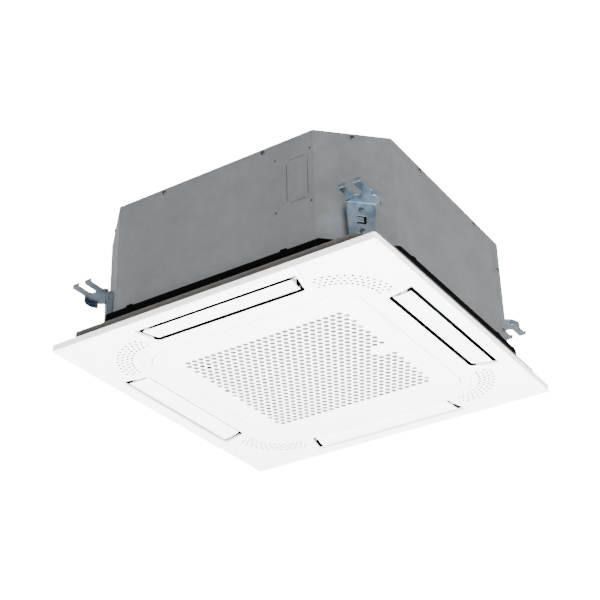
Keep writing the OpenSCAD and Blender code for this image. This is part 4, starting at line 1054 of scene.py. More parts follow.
class GeometryTree:
    """A geometry node tree with named inputs."""

    def __init__(self, name: str) -> None:
        """Starts a tree that takes and gives one geometry.

        Args:
            name: Name of the tree.
        """
        self.tree = bpy.data.node_groups.new(name, "GeometryNodeTree")
        self.tree.is_modifier = True
        self.socket("Geometry", "NodeSocketGeometry")
        self.tree.interface.new_socket("Geometry", in_out="OUTPUT",
                                       socket_type="NodeSocketGeometry")
        self.source = self.tree.nodes.new("NodeGroupInput")
        self.result = self.tree.nodes.new("NodeGroupOutput")

    def socket(self, name: str, kind: str, value: object = None) -> None:
        """Adds a named input.

        Args:
            name: Name of the input.
            kind: Type of the socket.
            value: Value at first, or none.
        """
        item = self.tree.interface.new_socket(name, in_out="INPUT", socket_type=kind)
        if value is not None:
            item.default_value = value

    def given(self, name: str) -> bpy.types.NodeSocket:
        """A named input as a socket."""
        return self.source.outputs[name]

    def add(self, kind: str, inputs: Optional[dict[object, object]] = None,
            **settings: object) -> bpy.types.Node:
        """Adds a node.

        Args:
            kind: Type of the node.
            inputs: Value or socket for each input, by name or place.
            **settings: Properties of the node.

        Returns:
            The node.
        """
        node = self.tree.nodes.new(kind)
        for key, value in settings.items():
            setattr(node, key, value)
        for key, value in (inputs or {}).items():
            plug(self.tree, node.inputs[key], value)
        return node

    def maths(self, kind: str, a: object, b: object = 0.0) -> bpy.types.NodeSocket:
        """Works out a value from two others."""
        return self.add("ShaderNodeMath", {0: a, 1: b}, operation=kind).outputs[0]

    def vector(self, x: object, y: object, z: object = 0.0) -> bpy.types.NodeSocket:
        """Joins three values to a vector."""
        return self.add("ShaderNodeCombineXYZ", {0: x, 1: y, 2: z}).outputs[0]

    def grid(self) -> tuple[bpy.types.NodeSocket, ...]:
        """Takes the inputs Rows and Columns and counts through them.

        Returns:
            Each point's column and row, and the numbers of columns and rows.
        """
        for name in ("Rows", "Columns"):
            self.socket(name, "NodeSocketInt")
        columns, rows = self.given("Columns"), self.given("Rows")
        index = self.add("GeometryNodeInputIndex").outputs[0]
        row = self.maths("FLOOR", self.maths("DIVIDE", index, columns))
        return self.maths("MODULO", index, columns), row, columns, rows

    def punch(self, x: bpy.types.NodeSocket, y: bpy.types.NodeSocket,
              left_out: bpy.types.NodeSocket) -> bpy.types.NodeTree:
        """Ends the tree: punches a flared round hole at each place of the grid.

        Args:
            x: Place along X.
            y: Place along Y.
            left_out: Whether the place has no hole.

        Returns:
            The finished tree.
        """
        count = self.maths("MULTIPLY", self.given("Rows"), self.given("Columns"))
        every = self.add("GeometryNodePoints", {"Count": count, "Position": self.vector(x, y)})
        points = self.add("GeometryNodeDeleteGeometry", {0: every.outputs[0], 1: left_out},
                          domain="POINT").outputs[0]
        radius = self.maths("MULTIPLY", self.given("Hole Diameter"), 0.5)
        flare = self.given("Flare")
        depth = self.given("Depth")
        shaft = self.add("GeometryNodeMeshCylinder",
                         {"Vertices": 32, "Radius": radius,
                          "Depth": self.maths("MULTIPLY", depth, 4.0)})
        both = self.maths("MULTIPLY", flare, 2.0)
        cone = self.add("GeometryNodeMeshCone",
                        {"Vertices": 32, "Radius Top": radius,
                         "Radius Bottom": self.maths("ADD", radius, both), "Depth": both})
        seat = self.add("GeometryNodeTransform",
                        {0: cone.outputs["Mesh"],
                         "Translation": self.vector(0.0, 0.0, self.maths("MULTIPLY", flare, -1.0))})
        cutters = []
        for mesh in (shaft.outputs["Mesh"], seat.outputs[0]):
            placed = self.add("GeometryNodeInstanceOnPoints",
                              {"Points": points, "Instance": mesh})
            cutters.append(self.add("GeometryNodeRealizeInstances",
                                    {0: placed.outputs[0]}).outputs[0])
        cut = self.add("GeometryNodeMeshBoolean", {0: self.given("Geometry")},
                       operation="DIFFERENCE", solver="MANIFOLD")
        for cutter in cutters:
            self.tree.links.new(cutter, cut.inputs[1])
        return self.close(cut.outputs[0])

    def close(self, mesh: bpy.types.NodeSocket) -> bpy.types.NodeTree:
        """Ends the tree with real geometry and its material.

        Args:
            mesh: The geometry.

        Returns:
            The finished tree.
        """
        real = self.add("GeometryNodeRealizeInstances", {0: mesh})
        painted = self.add("GeometryNodeSetMaterial",
                           {0: real.outputs[0], "Material": self.given("Material")})
        self.tree.links.new(painted.outputs[0], self.result.inputs[0])
        return self.tree


def hex_field_tree() -> bpy.types.NodeTree:
    """A tree that punches a staggered field of round holes with a bare place at one edge.

    Returns:
        The tree.
    """
    tree = GeometryTree("Hex field")
    for name in ("Hole Diameter", "Pitch", "Flare", "Depth", "Bare From", "Bare Half"):
        tree.socket(name, "NodeSocketFloat")
    tree.socket("Material", "NodeSocketMaterial")
    column, row, columns, rows = tree.grid()
    pitch = tree.given("Pitch")
    short = tree.maths("SUBTRACT", 1.0, tree.maths("MODULO", row, 2.0))
    half = tree.maths("MULTIPLY", tree.maths("SUBTRACT", columns, 1.0), 0.5)
    x = tree.maths("MULTIPLY", pitch, tree.maths(
        "ADD", tree.maths("SUBTRACT", column, half), tree.maths("MULTIPLY", short, 0.5)))
    middle = tree.maths("MULTIPLY", tree.maths("SUBTRACT", rows, 1.0), 0.5)
    y = tree.maths("MULTIPLY", tree.maths("MULTIPLY", pitch, math.sqrt(3) / 2),
                   tree.maths("SUBTRACT", row, middle))
    beyond = tree.maths("MULTIPLY", short, tree.maths(
        "GREATER_THAN", column, tree.maths("SUBTRACT", columns, 1.5)))
    bare = tree.maths("MULTIPLY", tree.maths("GREATER_THAN", x, tree.given("Bare From")),
                      tree.maths("LESS_THAN", tree.maths("ABSOLUTE", y),
                                 tree.given("Bare Half")))
    return tree.punch(x, y, tree.maths("GREATER_THAN", tree.maths("ADD", beyond, bare), 0.5))


def arc_field_tree() -> bpy.types.NodeTree:
    """A tree that punches staggered rows of round holes along arcs round a centre.

    Returns:
        The tree.
    """
    tree = GeometryTree("Arc field")
    for name in ("Hole Diameter", "Flare", "Depth", "First Radius", "Row Step", "Hole Step",
                 "Centre", "Middle Angle"):
        tree.socket(name, "NodeSocketFloat")
    tree.socket("Material", "NodeSocketMaterial")
    column, row, columns, _ = tree.grid()
    short = tree.maths("MODULO", row, 2.0)
    last = tree.maths("SUBTRACT", tree.maths("SUBTRACT", columns, 1.0), short)
    steps = tree.maths("SUBTRACT", column, tree.maths("MULTIPLY", last, 0.5))
    angle = tree.maths("RADIANS", tree.maths(
        "ADD", tree.given("Middle Angle"), tree.maths("MULTIPLY", steps, tree.given("Hole Step"))))
    radius = tree.maths("ADD", tree.given("First Radius"),
                        tree.maths("MULTIPLY", row, tree.given("Row Step")))
    x, y = (tree.maths("ADD", tree.given("Centre"), tree.maths(
        "MULTIPLY", radius, tree.maths(kind, angle))) for kind in ("COSINE", "SINE"))
    return tree.punch(x, y, tree.maths("GREATER_THAN", column, tree.maths("ADD", last, 0.5)))


def repeating_tree(name: str, upright: bool) -> bpy.types.NodeTree:
    """A tree that sets a template at each point.

    Args:
        name: Name of the tree.
        upright: Whether the template stays upright, its Y along the point's axis. If not, its Z
            lies along that axis and it has a random spin.

    Returns:
        The tree.
    """
    tree = GeometryTree(name)
    tree.socket("Template", "NodeSocketObject")
    if not upright:
        tree.socket("Spin", "NodeSocketFloat", 0.0)
        tree.socket("Seed", "NodeSocketInt", 7)
    tree.socket("Material", "NodeSocketMaterial")
    axis = tree.add("GeometryNodeInputNamedAttribute", {"Name": "axis"},
                    data_type="FLOAT_VECTOR").outputs[0]
    if upright:
        turn = tree.add("FunctionNodeAlignRotationToVector", {"Vector": axis}, axis="Y",
                        pivot_axis="Z")
    else:
        aim = tree.add("FunctionNodeAlignRotationToVector", {"Vector": axis}, axis="Z")
        spin = tree.add("FunctionNodeRandomValue", {2: 0.0, 3: tree.given("Spin"),
                                                    8: tree.given("Seed")}, data_type="FLOAT")
        local = tree.add("FunctionNodeAxisAngleToRotation",
                         {"Axis": (0, 0, 1), "Angle": spin.outputs[1]})
        turn = tree.add("FunctionNodeRotateRotation",
                        {0: aim.outputs[0], 1: local.outputs[0]}, rotation_space="LOCAL")
    points = tree.add("GeometryNodeMeshToPoints", {0: tree.given("Geometry")})
    template = tree.add("GeometryNodeObjectInfo", {"Object": tree.given("Template")})
    placed = tree.add("GeometryNodeInstanceOnPoints",
                      {"Points": points.outputs[0], "Instance": template.outputs["Geometry"],
                       "Rotation": turn.outputs[0]})
    return tree.close(placed.outputs[0])


def scatter(name: str, tree: bpy.types.NodeTree, template: Piece, finish: Finish,
            places: Sequence[tuple[Vector, Vector]], **values: object) -> Piece:
    """Sets a template at each place.

    Args:
        name: Name of the new object.
        tree: The tree that places the template.
        template: Piece that is repeated. It is used up.
        finish: Finish of the new piece.
        places: Point in metres and axis of each place.
        **values: Further inputs of the tree.

    Returns:
        The new piece.
    """
    piece = Piece(name)
    mesh = piece.obj.data
    mesh.from_pydata([point for point, _ in places], [], [])
    layer = mesh.attributes.new("axis", "FLOAT_VECTOR", "POINT")
    for item, (_, axis) in zip(layer.data, places):
        item.vector = axis
    piece.grow(tree, Template=template.obj, Material=finish.material(), **values)
    template.discard()
    return piece


# Fasteners

@dataclass
class Fastener:
    """A screw or bolt whose head stands on its place and points along its axis."""

    head_d: float
    head_h: float
    shank_d: float
    shank_l: float
    drive: Drive = Drive.CROSS
    steps: int = 32
    foot_share: float = 0.96
    edge_share: float = 0.12
    dome_share: float = 0.42
    dome_power: float = 0.8
    arm_share: float = 0.62
    slit_share: float = 0.15
    slit_least: float = 0.4
    floor_share: float = 0.45

    def template(self) -> Piece:
        """Makes one screw at the origin, along +Z.

        Returns:
            The screw as a closed piece.
        """
        r, h = self.head_d / 2, self.head_h
        if self.drive is Drive.HEX:
            piece = Piece("template").rod((0, 0, 0), (0, 0, h), r, 6).bevel(0.35, 2)
            return piece.rod((0, 0, -self.shank_l), (0, 0, 0), self.shank_d / 2, 24)
        profile = [(r * self.foot_share, 0.0), (r, h * self.edge_share), (r, h * self.dome_share)]
        for a in map(math.radians, (18, 36, 54, 68, 80)):
            rise = self.dome_share + (1 - self.dome_share) * math.sin(a)
            profile.append((r * math.cos(a) ** self.dome_power, h * rise))
        points = [(self.shank_d / 2, -self.shank_l), (self.shank_d / 2, 0.0)] + profile
        steps, verts, faces = self.steps, [], []
        for radius, z in points:
            verts += [(radius * math.cos(2 * math.pi * i / steps),
                       radius * math.sin(2 * math.pi * i / steps), z) for i in range(steps)]
        for ring in range(len(points) - 1):
            for i in range(steps):
                a, b = ring * steps + i, ring * steps + (i + 1) % steps
                faces.append((a, b, b + steps, a + steps))
        faces.append(tuple(reversed(range(steps))))
        faces.append(tuple(range((len(points) - 1) * steps, len(points) * steps)))
        piece = Piece.from_lists("template", verts, faces)
        arm, width = r * self.arm_share, max(r * self.slit_share, self.slit_least)
        for x, y in ((arm, width), (width, arm)):
            piece.cut(Piece("cross").box((-x, -y, h * self.floor_share), (x, y, h * 2)))
        return piece


def solids_of(node: str) -> list[list[Vector]]:
    """Splits a CAD node's mesh into its separate solids.

    Args:
        node: Name of the CAD node.

    Returns:
        The points of each solid, in metres.
    """
    bm = bmesh.new()
    bm.from_mesh(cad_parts[node].data)
    bmesh.ops.remove_doubles(bm, verts=bm.verts, dist=WELD)
    left, solids = set(bm.verts), []
    while left:
        front, found = [left.pop()], []
        while front:
            vert = front.pop()
            found.append(vert.co.copy())
            for edge in vert.link_edges:
                other = edge.other_vert(vert)
                if other in left:
                    left.remove(other)
                    front.append(other)
        solids.append(found)
    bm.free()
    return solids


def head_places(node: str, head_h: float,
                outward: Callable[[Vector], Vector]) -> list[tuple[Vector, Vector]]:
    """Finds where a node's screws stand.

    Args:
        node: Name of the CAD node, one solid for each screw.
        head_h: Height of the heads in millimetres.
        outward: Gives a screw's axis from its middle.

    Returns:
        The foot of each head and its axis.
    """
    places = []
    for points in solids_of(node):
        middle = sum(points, Vector()) / len(points)
        low = Vector([min(p[i] for p in points) for i in range(3)])
        high = Vector([max(p[i] for p in points) for i in range(3)])
        centre = (low + high) / 2
        axis = outward(middle)
        top = max(p.dot(axis) for p in points)
        places.append((centre + axis * (top - head_h * MM - centre.dot(axis)), axis))
    return places


def octagon_normal(flat: float, chamfer: float) -> Callable[[Vector], Vector]:
    """Gives the outward direction of the nearest face of an octagonal body.

    Args:
        flat: Distance of the flat faces from the centre, in metres.
        chamfer: Distance of the chamfered faces from the centre, in metres.

    Returns:
        A rule from a point to a direction.
    """
    faces = [(Vector((math.cos(math.radians(45 * i)), math.sin(math.radians(45 * i)), 0)),
              chamfer if i % 2 else flat) for i in range(8)]
    return lambda point: max(faces, key=lambda face: point.dot(face[0]) - face[1])[0]


# Sub-assemblies

def dress(node: str, finish: Finish, width: float, body: str = "casing", steps: int = 2,
          angle: float = 35, smooth: float = 32) -> None:
    """Copies a CAD node, rounds its edges and paints it."""
    Piece.from_node(node).bevel(width, steps, angle).shade(smooth).done(finish, body, node)


@dataclass
class DecorationPanel:
    """The square panel with its four outlets, its corner covers and its seal."""

    half: float = 310
    corner_r: float = 5
    thickness: float = 2.5
    opening_half: float = 203.7
    opening_r: float = 41.2
    seam: float = 0.6
    seam_out: float = 169
    seam_in: float = 156
    arc_centre: float = 165
    arc_r: float = 56
    slot_in: float = 236.5
    slot_out: float = 286
    slot_in_half: float = 143
    slot_out_half: float = 156.5
    slot_r: float = 10
    lip: float = 4.5
    lip_rise: float = 2.3
    groove_r: float = 111
    groove_w: float = 0.8
    groove_d: float = 0.4
    pry: tuple[float, float, float, float] = (285, 305, 304.6, 305.8)
    edge: float = 1.1
    fine: float = 0.35
    blend: float = 14
    blend_at: float = 8
    seam_ease: float = 3
    cover_ease: float = 2.5
    side_steps: tuple[float, ...] = (2, 6, 14, 24, 34)
    corner_steps: int = 20
    circle_steps: int = 180
    sink: float = 0.5
    dot_d: float = 4.7
    dot_flare: float = 0.15
    dot_first_r: float = 71
    dot_row_step: float = 8
    dot_turn: float = 7.2
    dot_middle: float = 45
    dot_rows: int = 4
    dot_columns: int = 13
    seal_half: float = 300
    seal_cut: float = 33
    seal_z: float = 25
    seal_lip_h: float = 4
    seal_lip_t: float = 1.6

    def slot_outline(self) -> list[Point]:
        """Outline of the front outlet, clockwise.

        Returns:
            The outline.
        """
        slope = (self.slot_out_half - self.slot_in_half) / (self.slot_out - self.slot_in)
        half = self.slot_in_half + slope * self.slot_r
        y = -self.slot_in - self.slot_r
        top = arc((-half + self.slot_r, y), self.slot_r, 180, 90, 10)
        middle = [(x, -self.slot_in) for x in range(-120, 121, 40)]
        top += middle + arc((half - self.slot_r, y), self.slot_r, 90, 0, 10)
        side = [(half + slope * d, y - d) for d in self.side_steps]
        return (top + side + [(s * self.slot_out_half, -self.slot_out) for s in (1, -1)]
                + [(-x, level) for x, level in reversed(side)])

    def slot_rounding(self, point: Point) -> Point:
        """Rounding of the outlet's edge, wide at the inner edge and fine elsewhere.

        Args:
            point: A point of the front outlet's outline.

        Returns:
            Depth into the face and height of the rounding.
        """
        start = self.slot_in + self.slot_r + self.blend_at
        share = min(max((start + point[1]) / self.blend, 0), 1)
        share = share * share * (3 - 2 * share)
        return (self.fine + (self.lip - self.fine) * share,
                self.fine + (self.lip_rise - self.fine) * share)

    def ring_outline(self) -> list[Point]:
        """Outline of the panel's plate without its four corners, counter-clockwise.

        Returns:
            The outline.
        """
        grow = self.seam / 2
        radius, edge_x = self.arc_r - grow, self.seam_in - grow
        tilt = math.degrees(math.asin((self.arc_centre - edge_x) / radius))
        far = self.arc_centre + self.arc_r
        side = [(s * (self.seam_out - d), -self.half)
                for s, d in ((-1, grow), (-1, self.seam_ease), (1, self.seam_ease), (1, grow))]
        side.append((edge_x, -far))
        side += arc((self.arc_centre, -self.arc_centre), radius, -90 - tilt, tilt, 24)
        side.append((far, -edge_x))
        return [p for s in Side for p in turned(side, s.value)]

    def edge_rounding(self, point: Point) -> Point:
        """Rounding of the panel's outer edge, fine where a seam runs.

        Args:
            point: A point of an outline.

        Returns:
            Depth into the face and height of the rounding.
        """
        inner, outer = sorted(abs(c) for c in point)
        wide = outer > self.half - 2 * self.corner_r and (
            inner < self.seam_out - 1 or inner > self.seam_out + 1)
        return (self.edge, self.edge) if wide else (self.fine, self.fine)

    def frame_piece(self) -> None:
        """Builds the panel's plate and a copy of the CAD walls above it."""
        plate = Plate(0, self.thickness).outline(self.ring_outline(), self.edge_rounding)
        plate.outline(list(reversed(round_square(self.opening_half, self.opening_r, self.corner_steps))),
                      self.fine)
        for side in Side:
            outline = self.slot_outline()
            sizes = {p: self.slot_rounding(q) for p, q in zip(turned(outline, side.value),
                                                              outline)}
            plate.outline(list(sizes), lambda p, sizes=sizes: sizes[p])
        plate.build("panel_face").shade(30).done(WHITE, "casing", "panel_frame")
        walls = Piece.from_node("panel_frame", "panel_walls", above=self.thickness)
        walls.bevel(0.3, 2).shade(30).done(DUCTS, "casing", "panel_frame")

    def cover_outline(self) -> list[Point]:
        """Outline of the back right corner cover, counter-clockwise.

        Returns:
            The outline.
        """
        grow = self.seam / 2
        radius, edge_x = self.arc_r + grow, self.seam_in + grow
        tilt = math.degrees(math.asin((self.arc_centre - edge_x) / radius))
        out = self.seam_out + grow
        points = [(self.half, out), (self.half, out + self.cover_ease)]
        points += arc((self.half - self.corner_r,) * 2, self.corner_r, 0, 90, 8)
        points += [(out + self.cover_ease, self.half), (out, self.half)]
        return points + arc((self.arc_centre,) * 2, radius, 90 + tilt, -tilt, 28)

    def cover(self, corner: Corner, node: str, tree: bpy.types.NodeTree) -> None:
        """Builds one corner cover with its arcs of holes, groove and pry slit.

        Args:
            corner: Which corner.
            node: Name of the CAD node.
            tree: The arc field tree.
        """
        plate = Plate(0, self.thickness).outline(self.cover_outline(), self.edge_rounding)
        piece = plate.build(node + "_dressed")
        ring = Plate(-1, self.groove_d, 1)
        for radius, way in ((self.groove_r + self.groove_w / 2, 1),
                            (self.groove_r - self.groove_w / 2, -1)):
            circle = arc((self.arc_centre,) * 2, radius, 0, 360, self.circle_steps)[:-1]
            ring.outline(circle[::way], SHARP_EDGE)
        piece.cut(ring.build("groove"))
        x0, x1, y0, y1 = self.pry
        piece.cut(Piece("slit").box((x0, y0, -1), (x1, y1, self.thickness + 1)))
        piece.grow(tree, Hole_Diameter=self.dot_d * MM, Flare=self.dot_flare * MM,
                   Depth=self.thickness * MM, First_Radius=self.dot_first_r * MM,
                   Row_Step=self.dot_row_step * MM, Hole_Step=self.dot_turn,
                   Centre=self.arc_centre * MM, Middle_Angle=self.dot_middle,
                   Rows=self.dot_rows, Columns=self.dot_columns, Material=COVER.material())
        piece.join(Piece.from_node(node, "walls", above=self.thickness).turn(-corner.value))
        piece.turn(corner.value).shade(30)
        piece.done(COVER, "casing", node)

    def seal_lip(self) -> Piece:
        """Builds the thin upright lip of the seal round the drain pan.

        Returns:
            The lip.
        """
        half, cut = self.seal_half, self.seal_cut
        outer = [p for quarter in range(4)
                 for p in turned([(half, half - cut), (half - cut, half)], 90 * quarter)]
        share = 1 - self.seal_lip_t / half
        inner = [(x * share, y * share) for x, y in outer]
        lip = Plate(self.seal_z - self.sink, self.seal_z + self.seal_lip_h, 1)
        lip.outline(outer, SHARP_EDGE).outline(list(reversed(inner)), SHARP_EDGE)
        return lip.build("seal_lip")

    def build(self) -> None:
        """Builds the panel, its covers and its seal."""
        self.frame_piece()
        tree = arc_field_tree()
        for index, corner in enumerate(Corner, 1):
            self.cover(corner, f"corner_cover_{index}", tree)
        seal = Piece.from_node("panel_seal").bevel(0.8, 2)
        seal.join(self.seal_lip()).shade().done(SEAL, "casing", "panel_seal")


@dataclass
class InletGrille:
    """The hinged perforated grille with its latches, hinge arms and filter."""

    half: float = 202.5
    radius: float = 40
    thickness: float = 2.2
    edge: float = 0.5
    hole_d: float = 9.6
    pitch: float = 13
    rows: int = 27
    columns: int = 25
    flare: float = 0.35
    bare_from: float = 127.4
    bare_half: float = 16.9

    def build(self) -> None:
        """Builds the grille and what rides on it."""
        plate = Plate(0, self.thickness).outline(round_square(self.half, self.radius, 20),
                                                 self.edge)
        piece = plate.build("inlet_grille_dressed")
        piece.grow(hex_field_tree(), Hole_Diameter=self.hole_d * MM, Pitch=self.pitch * MM,
                   Rows=self.rows, Columns=self.columns, Flare=self.flare * MM,
                   Depth=self.thickness * MM, Bare_From=self.bare_from * MM,
                   Bare_Half=self.bare_half * MM, Material=INLET.material())
        guides = Piece.from_node("inlet_grille", "guides", above=self.thickness)
        piece.join(guides.bevel(0.25, 2)).shade(30).done(INLET, "grille", "inlet_grille")
        for index in (1, 2):
            dress(f"grille_latch_{index}", LATCH, 0.3, f"latch_{index}")
        dress("filter_frame", FILTER, 0.4, "grille")
        Piece.from_node("filter_mesh").shade().done(NET, "grille", "filter_mesh")
        dress("grille_hinge_arms", ZINC, 0.4, "grille")


@dataclass
class OutletLouver:
    """A swinging outlet louver: a curved blade with a spine, arms and stub shafts."""

    inner: float = 242.5
    outer: float = 278.5
    end_in: float = 7
    end_out: float = 12
    thickness: float = 2.4
    edge_t: float = 0.7
    fold_z: float = 9.5
    lift: float = 3.5
    bend: float = 2.5
    play: float = 0.3
    axis_y: float = 263
    axis_z: float = 13
    arm_in: float = 1
    arm_t: float = 3
    hub_r: float = 5
    shaft_r: float = 2.5
    shaft_out: float = 6
    spine_t: float = 2
    spine_h: float = 3
    rounding: float = 0.3
    sink: float = 0.5
    panel: DecorationPanel = field(default_factory=DecorationPanel)

    def half_at(self, y: float) -> tuple[float, float]:
        """Half lengths of the blade and of the outlet at a distance from the centre.

        Args:
            y: The distance.

        Returns:
            Half the blade's length and half the outlet's.
        """
        p = self.panel
        share = (y - p.slot_in) / (p.slot_out - p.slot_in)
        slot = p.slot_in_half + share * (p.slot_out_half - p.slot_in_half)
        return slot - self.end_in - share * (self.end_out - self.end_in), slot

    def under(self, y: float) -> float:
        """Height of the blade's underside at a distance from the centre."""
        return self.play + self.lift * ((self.outer - y) / (self.outer - self.inner)) ** self.bend

    def depth(self, y: float) -> float:
        """Thickness of the blade at a distance from the centre, thin at both edges."""
        off = abs(2 * (y - self.inner) / (self.outer - self.inner) - 1)
        return self.edge_t + (self.thickness - self.edge_t) * (1 - off ** 4)

    def blade(self, name: str, steps: int = 28) -> Piece:
        """Builds the blade of the front louver, with its folded inner edge.

        Args:
            name: Name of the object.
            steps: Straight steps across the blade.

        Returns:
            The blade.
        """
        ys = [self.inner + (self.outer - self.inner) * i / steps for i in range(steps + 1)]
        section = [(y, self.under(y)) for y in ys]
        section += [(y, self.under(y) + self.depth(y)) for y in reversed(ys)
                    if y > self.inner + self.edge_t]
        section += [(self.inner + self.edge_t, self.fold_z), (self.inner, self.fold_z)]
        n = len(section)
        verts = [(s * self.half_at(y)[0], -y, z) for s in (-1, 1) for y, z in section]
        faces = [(i, (i + 1) % n, n + (i + 1) % n, n + i) for i in range(n)]
        faces += [tuple(reversed(range(n))), tuple(range(n, 2 * n))]
        piece = Piece.from_lists(name, verts, faces)
        with piece.editing() as bm:
            bmesh.ops.recalc_face_normals(bm, faces=bm.faces)
        return piece.bevel(self.rounding, 3, 40)

    def build(self, side: Side, index: int) -> None:
        """Builds one louver, its motor and its arms.

        Args:
            side: The side that it serves.
            index: Number in the CAD nodes' names.
        """
        piece = self.blade(f"louver_{index}_dressed")
        top = self.under(self.axis_y) + self.thickness
        half, slot = self.half_at(self.axis_y)
        arm, reach = half - self.arm_t - self.arm_in, slot + self.shaft_out
        rig = Piece("rig").box((-arm, -self.axis_y - self.spine_t / 2, top - self.sink),
                               (arm, -self.axis_y + self.spine_t / 2, top + self.spine_h))
        for s in (-1, 1):
            x0, x1 = sorted((s * arm, s * (arm + self.arm_t)))
            rig.box((x0, -self.axis_y - self.hub_r, top - self.sink),
                    (x1, -self.axis_y + self.hub_r, self.axis_z))
            rig.rod((x0, -self.axis_y, self.axis_z), (x1, -self.axis_y, self.axis_z), self.hub_r)
            rig.rod((s * arm, -self.axis_y, self.axis_z), (s * reach, -self.axis_y, self.axis_z),
                    self.shaft_r)
        piece.join(rig.bevel(0.2, 1, 60)).turn(side.value).shade(35)
        piece.done(WHITE, f"louver_{index}", f"louver_{index}")
        dress(f"louver_motor_{index}", STEPPER, 0.5)


@dataclass
class BodyShell:
    """The sheet metal body with its liner, drain pan and hanger brackets."""

    bend: float = 1.4
    crease: float = 0.3
    long_edge: float = 100
    upright: float = 0.99
    bend_angles: tuple[float, float] = (30, 60)

    def bend_rule(self, edge: bmesh.types.BMEdge) -> float:
        """Share of the bend's width for an edge of a side sheet.

        Args:
            edge: The edge.

        Returns:
            One on the vertical bends, less on long cut edges and none on the rest.
        """
        if len(edge.link_faces) != 2:
            return 0
        angle = edge.calc_face_angle(0)
        rise = abs((edge.verts[0].co - edge.verts[1].co).normalized().z)
        least, most = map(math.radians, self.bend_angles)
        if rise > self.upright and least < angle < most:
            return 1
        long = edge.calc_length() > self.long_edge * MM
        return self.crease / self.bend if long and angle > most else 0

    def build(self) -> None:
        """Builds the body's pieces."""
        for node in ("side_sheet_front", "side_sheet_back", "top_plate"):
            piece = Piece.from_node(node).bevel(self.bend, 4, rule=self.bend_rule).shade()
            piece.done(GALVANISED, "casing", node)
        for node in ("pipe_plate", "coil_end_plates", "control_box", "control_box_cover"):
            dress(node, GALVANISED, 0.25)
        dress("drain_pan", PAN, 1.0, steps=3)
        for node in ("liner_walls", "liner_top"):
            dress(node, LINER, 0.6)
        for index in range(1, 5):
            dress(f"hanger_bracket_{index}", ZINC, 0.7, steps=3)


@dataclass
class FastenerSet:
    """All screws and bolts, set where the CAD has them."""

    body_flat: float = 0.288
    body_chamfer: float = 0.34224

    def build(self) -> None:
        """Builds each kind of fastener."""
        tree = repeating_tree("Scatter", upright=False)
        outward = octagon_normal(self.body_flat, self.body_chamfer)
        down, up = (lambda point: Vector((0, 0, -1))), (lambda point: Vector((0, 0, 1)))
        kinds = (
            ("casing_screws", Fastener(7.4, 2.0, 3.6, 6), outward, 1.5),
            ("bracket_screws", Fastener(9.0, 2.0, 4.0, 16.3), outward, 1.5),
            ("panel_screws", Fastener(9.0, 2.6, 4.2, 26), down, 1.5),
            ("motor_bolts", Fastener(11.5, 3.0, 6.0, 11.7, Drive.HEX), up, 1.0),
        )
        for node, kind, rule, spin in kinds:
            piece = scatter(node + "_dressed", tree, kind.template(), SCREW,
                            head_places(node, kind.head_h, rule), Spin=spin)
            piece.shade(28).done(SCREW, "casing", node)


@dataclass
class FanUnit:
    """The turbo fan with its bell mouth and motor."""

    def build(self) -> None:
        """Builds the fan's pieces."""
        for node, finish, body, width in (
                ("bell_mouth", BELL, "casing", 0.4), ("fan_wheel", FAN, "fan", 0.4),
                ("fan_shroud", FAN, "fan", 0.4), ("fan_motor", CAN, "casing", 0.8),
                ("motor_shaft", SHAFT, "fan", 0.4), ("fan_nut", ZINC, "fan", 0.4),
                ("motor_rubbers", RUBBER, "casing", 0.6)):
            dress(node, finish, width, body)


@dataclass
class CoilAndPipes:
    """The finned coil in three quarters of a ring, with its headers and connections."""

    middle: float = 190
    radius: float = 44
    depth: float = 28
    low: float = 35
    high: float = 246.3
    cut: float = 150
    fin_t: float = 0.25
    fin_pitch: float = 2.2
    end_gap: float = 0.2
    bend_steps: int = 24

    def path(self) -> list[tuple[Vector, Vector]]:
        """Places of the fins along the coil's middle line.

        Returns:
            Point in metres and direction along the coil, for each fin.
        """
        straight = self.middle - self.radius
        corners: list[Point] = [(-self.cut + self.end_gap, self.middle)]
        for quarter in (0, 270, 180):
            corners += turned(arc((straight, straight), self.radius, 90, 0, self.bend_steps), quarter)
        corners.append((-self.middle, self.cut - self.end_gap))
        line = [Vector(p) for p in corners]
        lengths = [(b - a).length for a, b in zip(line, line[1:])]
        total = sum(lengths)
        count = int(total / self.fin_pitch)
        height = (self.low + self.high) / 2 * MM
        places, index, start = [], 0, 0.0
        for i in range(count):
            at = (i + 0.5) * total / count
            while at > start + lengths[index]:
                start += lengths[index]
                index += 1
            a, b = line[index], line[index + 1]
            point, way = a + (b - a) * (at - start) / lengths[index], (b - a).normalized()
            places.append((Vector((point.x * MM, point.y * MM, height)), Vector((*way, 0))))
        return places

    def build(self) -> None:
        """Builds the fins by a node tree and the pipes from the CAD."""
        half, depth = (self.high - self.low) / 2, self.depth / 2
        fin = Piece("template").box((-depth, -self.fin_t / 2, -half),
                                    (depth, self.fin_t / 2, half))
        fins = scatter("evaporator_fins_dressed", repeating_tree("Stand", upright=True), fin, FINS,
                       self.path())
        fins.done(FINS, "casing", "evaporator_fins")
        for node, finish in (("return_bends", COPPER), ("gas_pipe", COPPER),
                             ("liquid_pipe", COPPER), ("gas_flare_nut", BRASS),
                             ("liquid_flare_nut", BRASS)):
            dress(node, finish, 0.3, angle=50, smooth=40)


@dataclass
class DrainGear:
    """The drain pump, its pipe and the float switch."""

    def build(self) -> None:
        """Builds the drain's pieces."""
        for node, finish, body, width in (
                ("drain_pump", PUMP, "casing", 0.8), ("drain_pipe", PIPE, "casing", 0.4),
                ("float_stem", STEM, "casing", 0.3), ("float_ring", FLOAT, "float", 0.8)):
            dress(node, finish, width, body, steps=3)


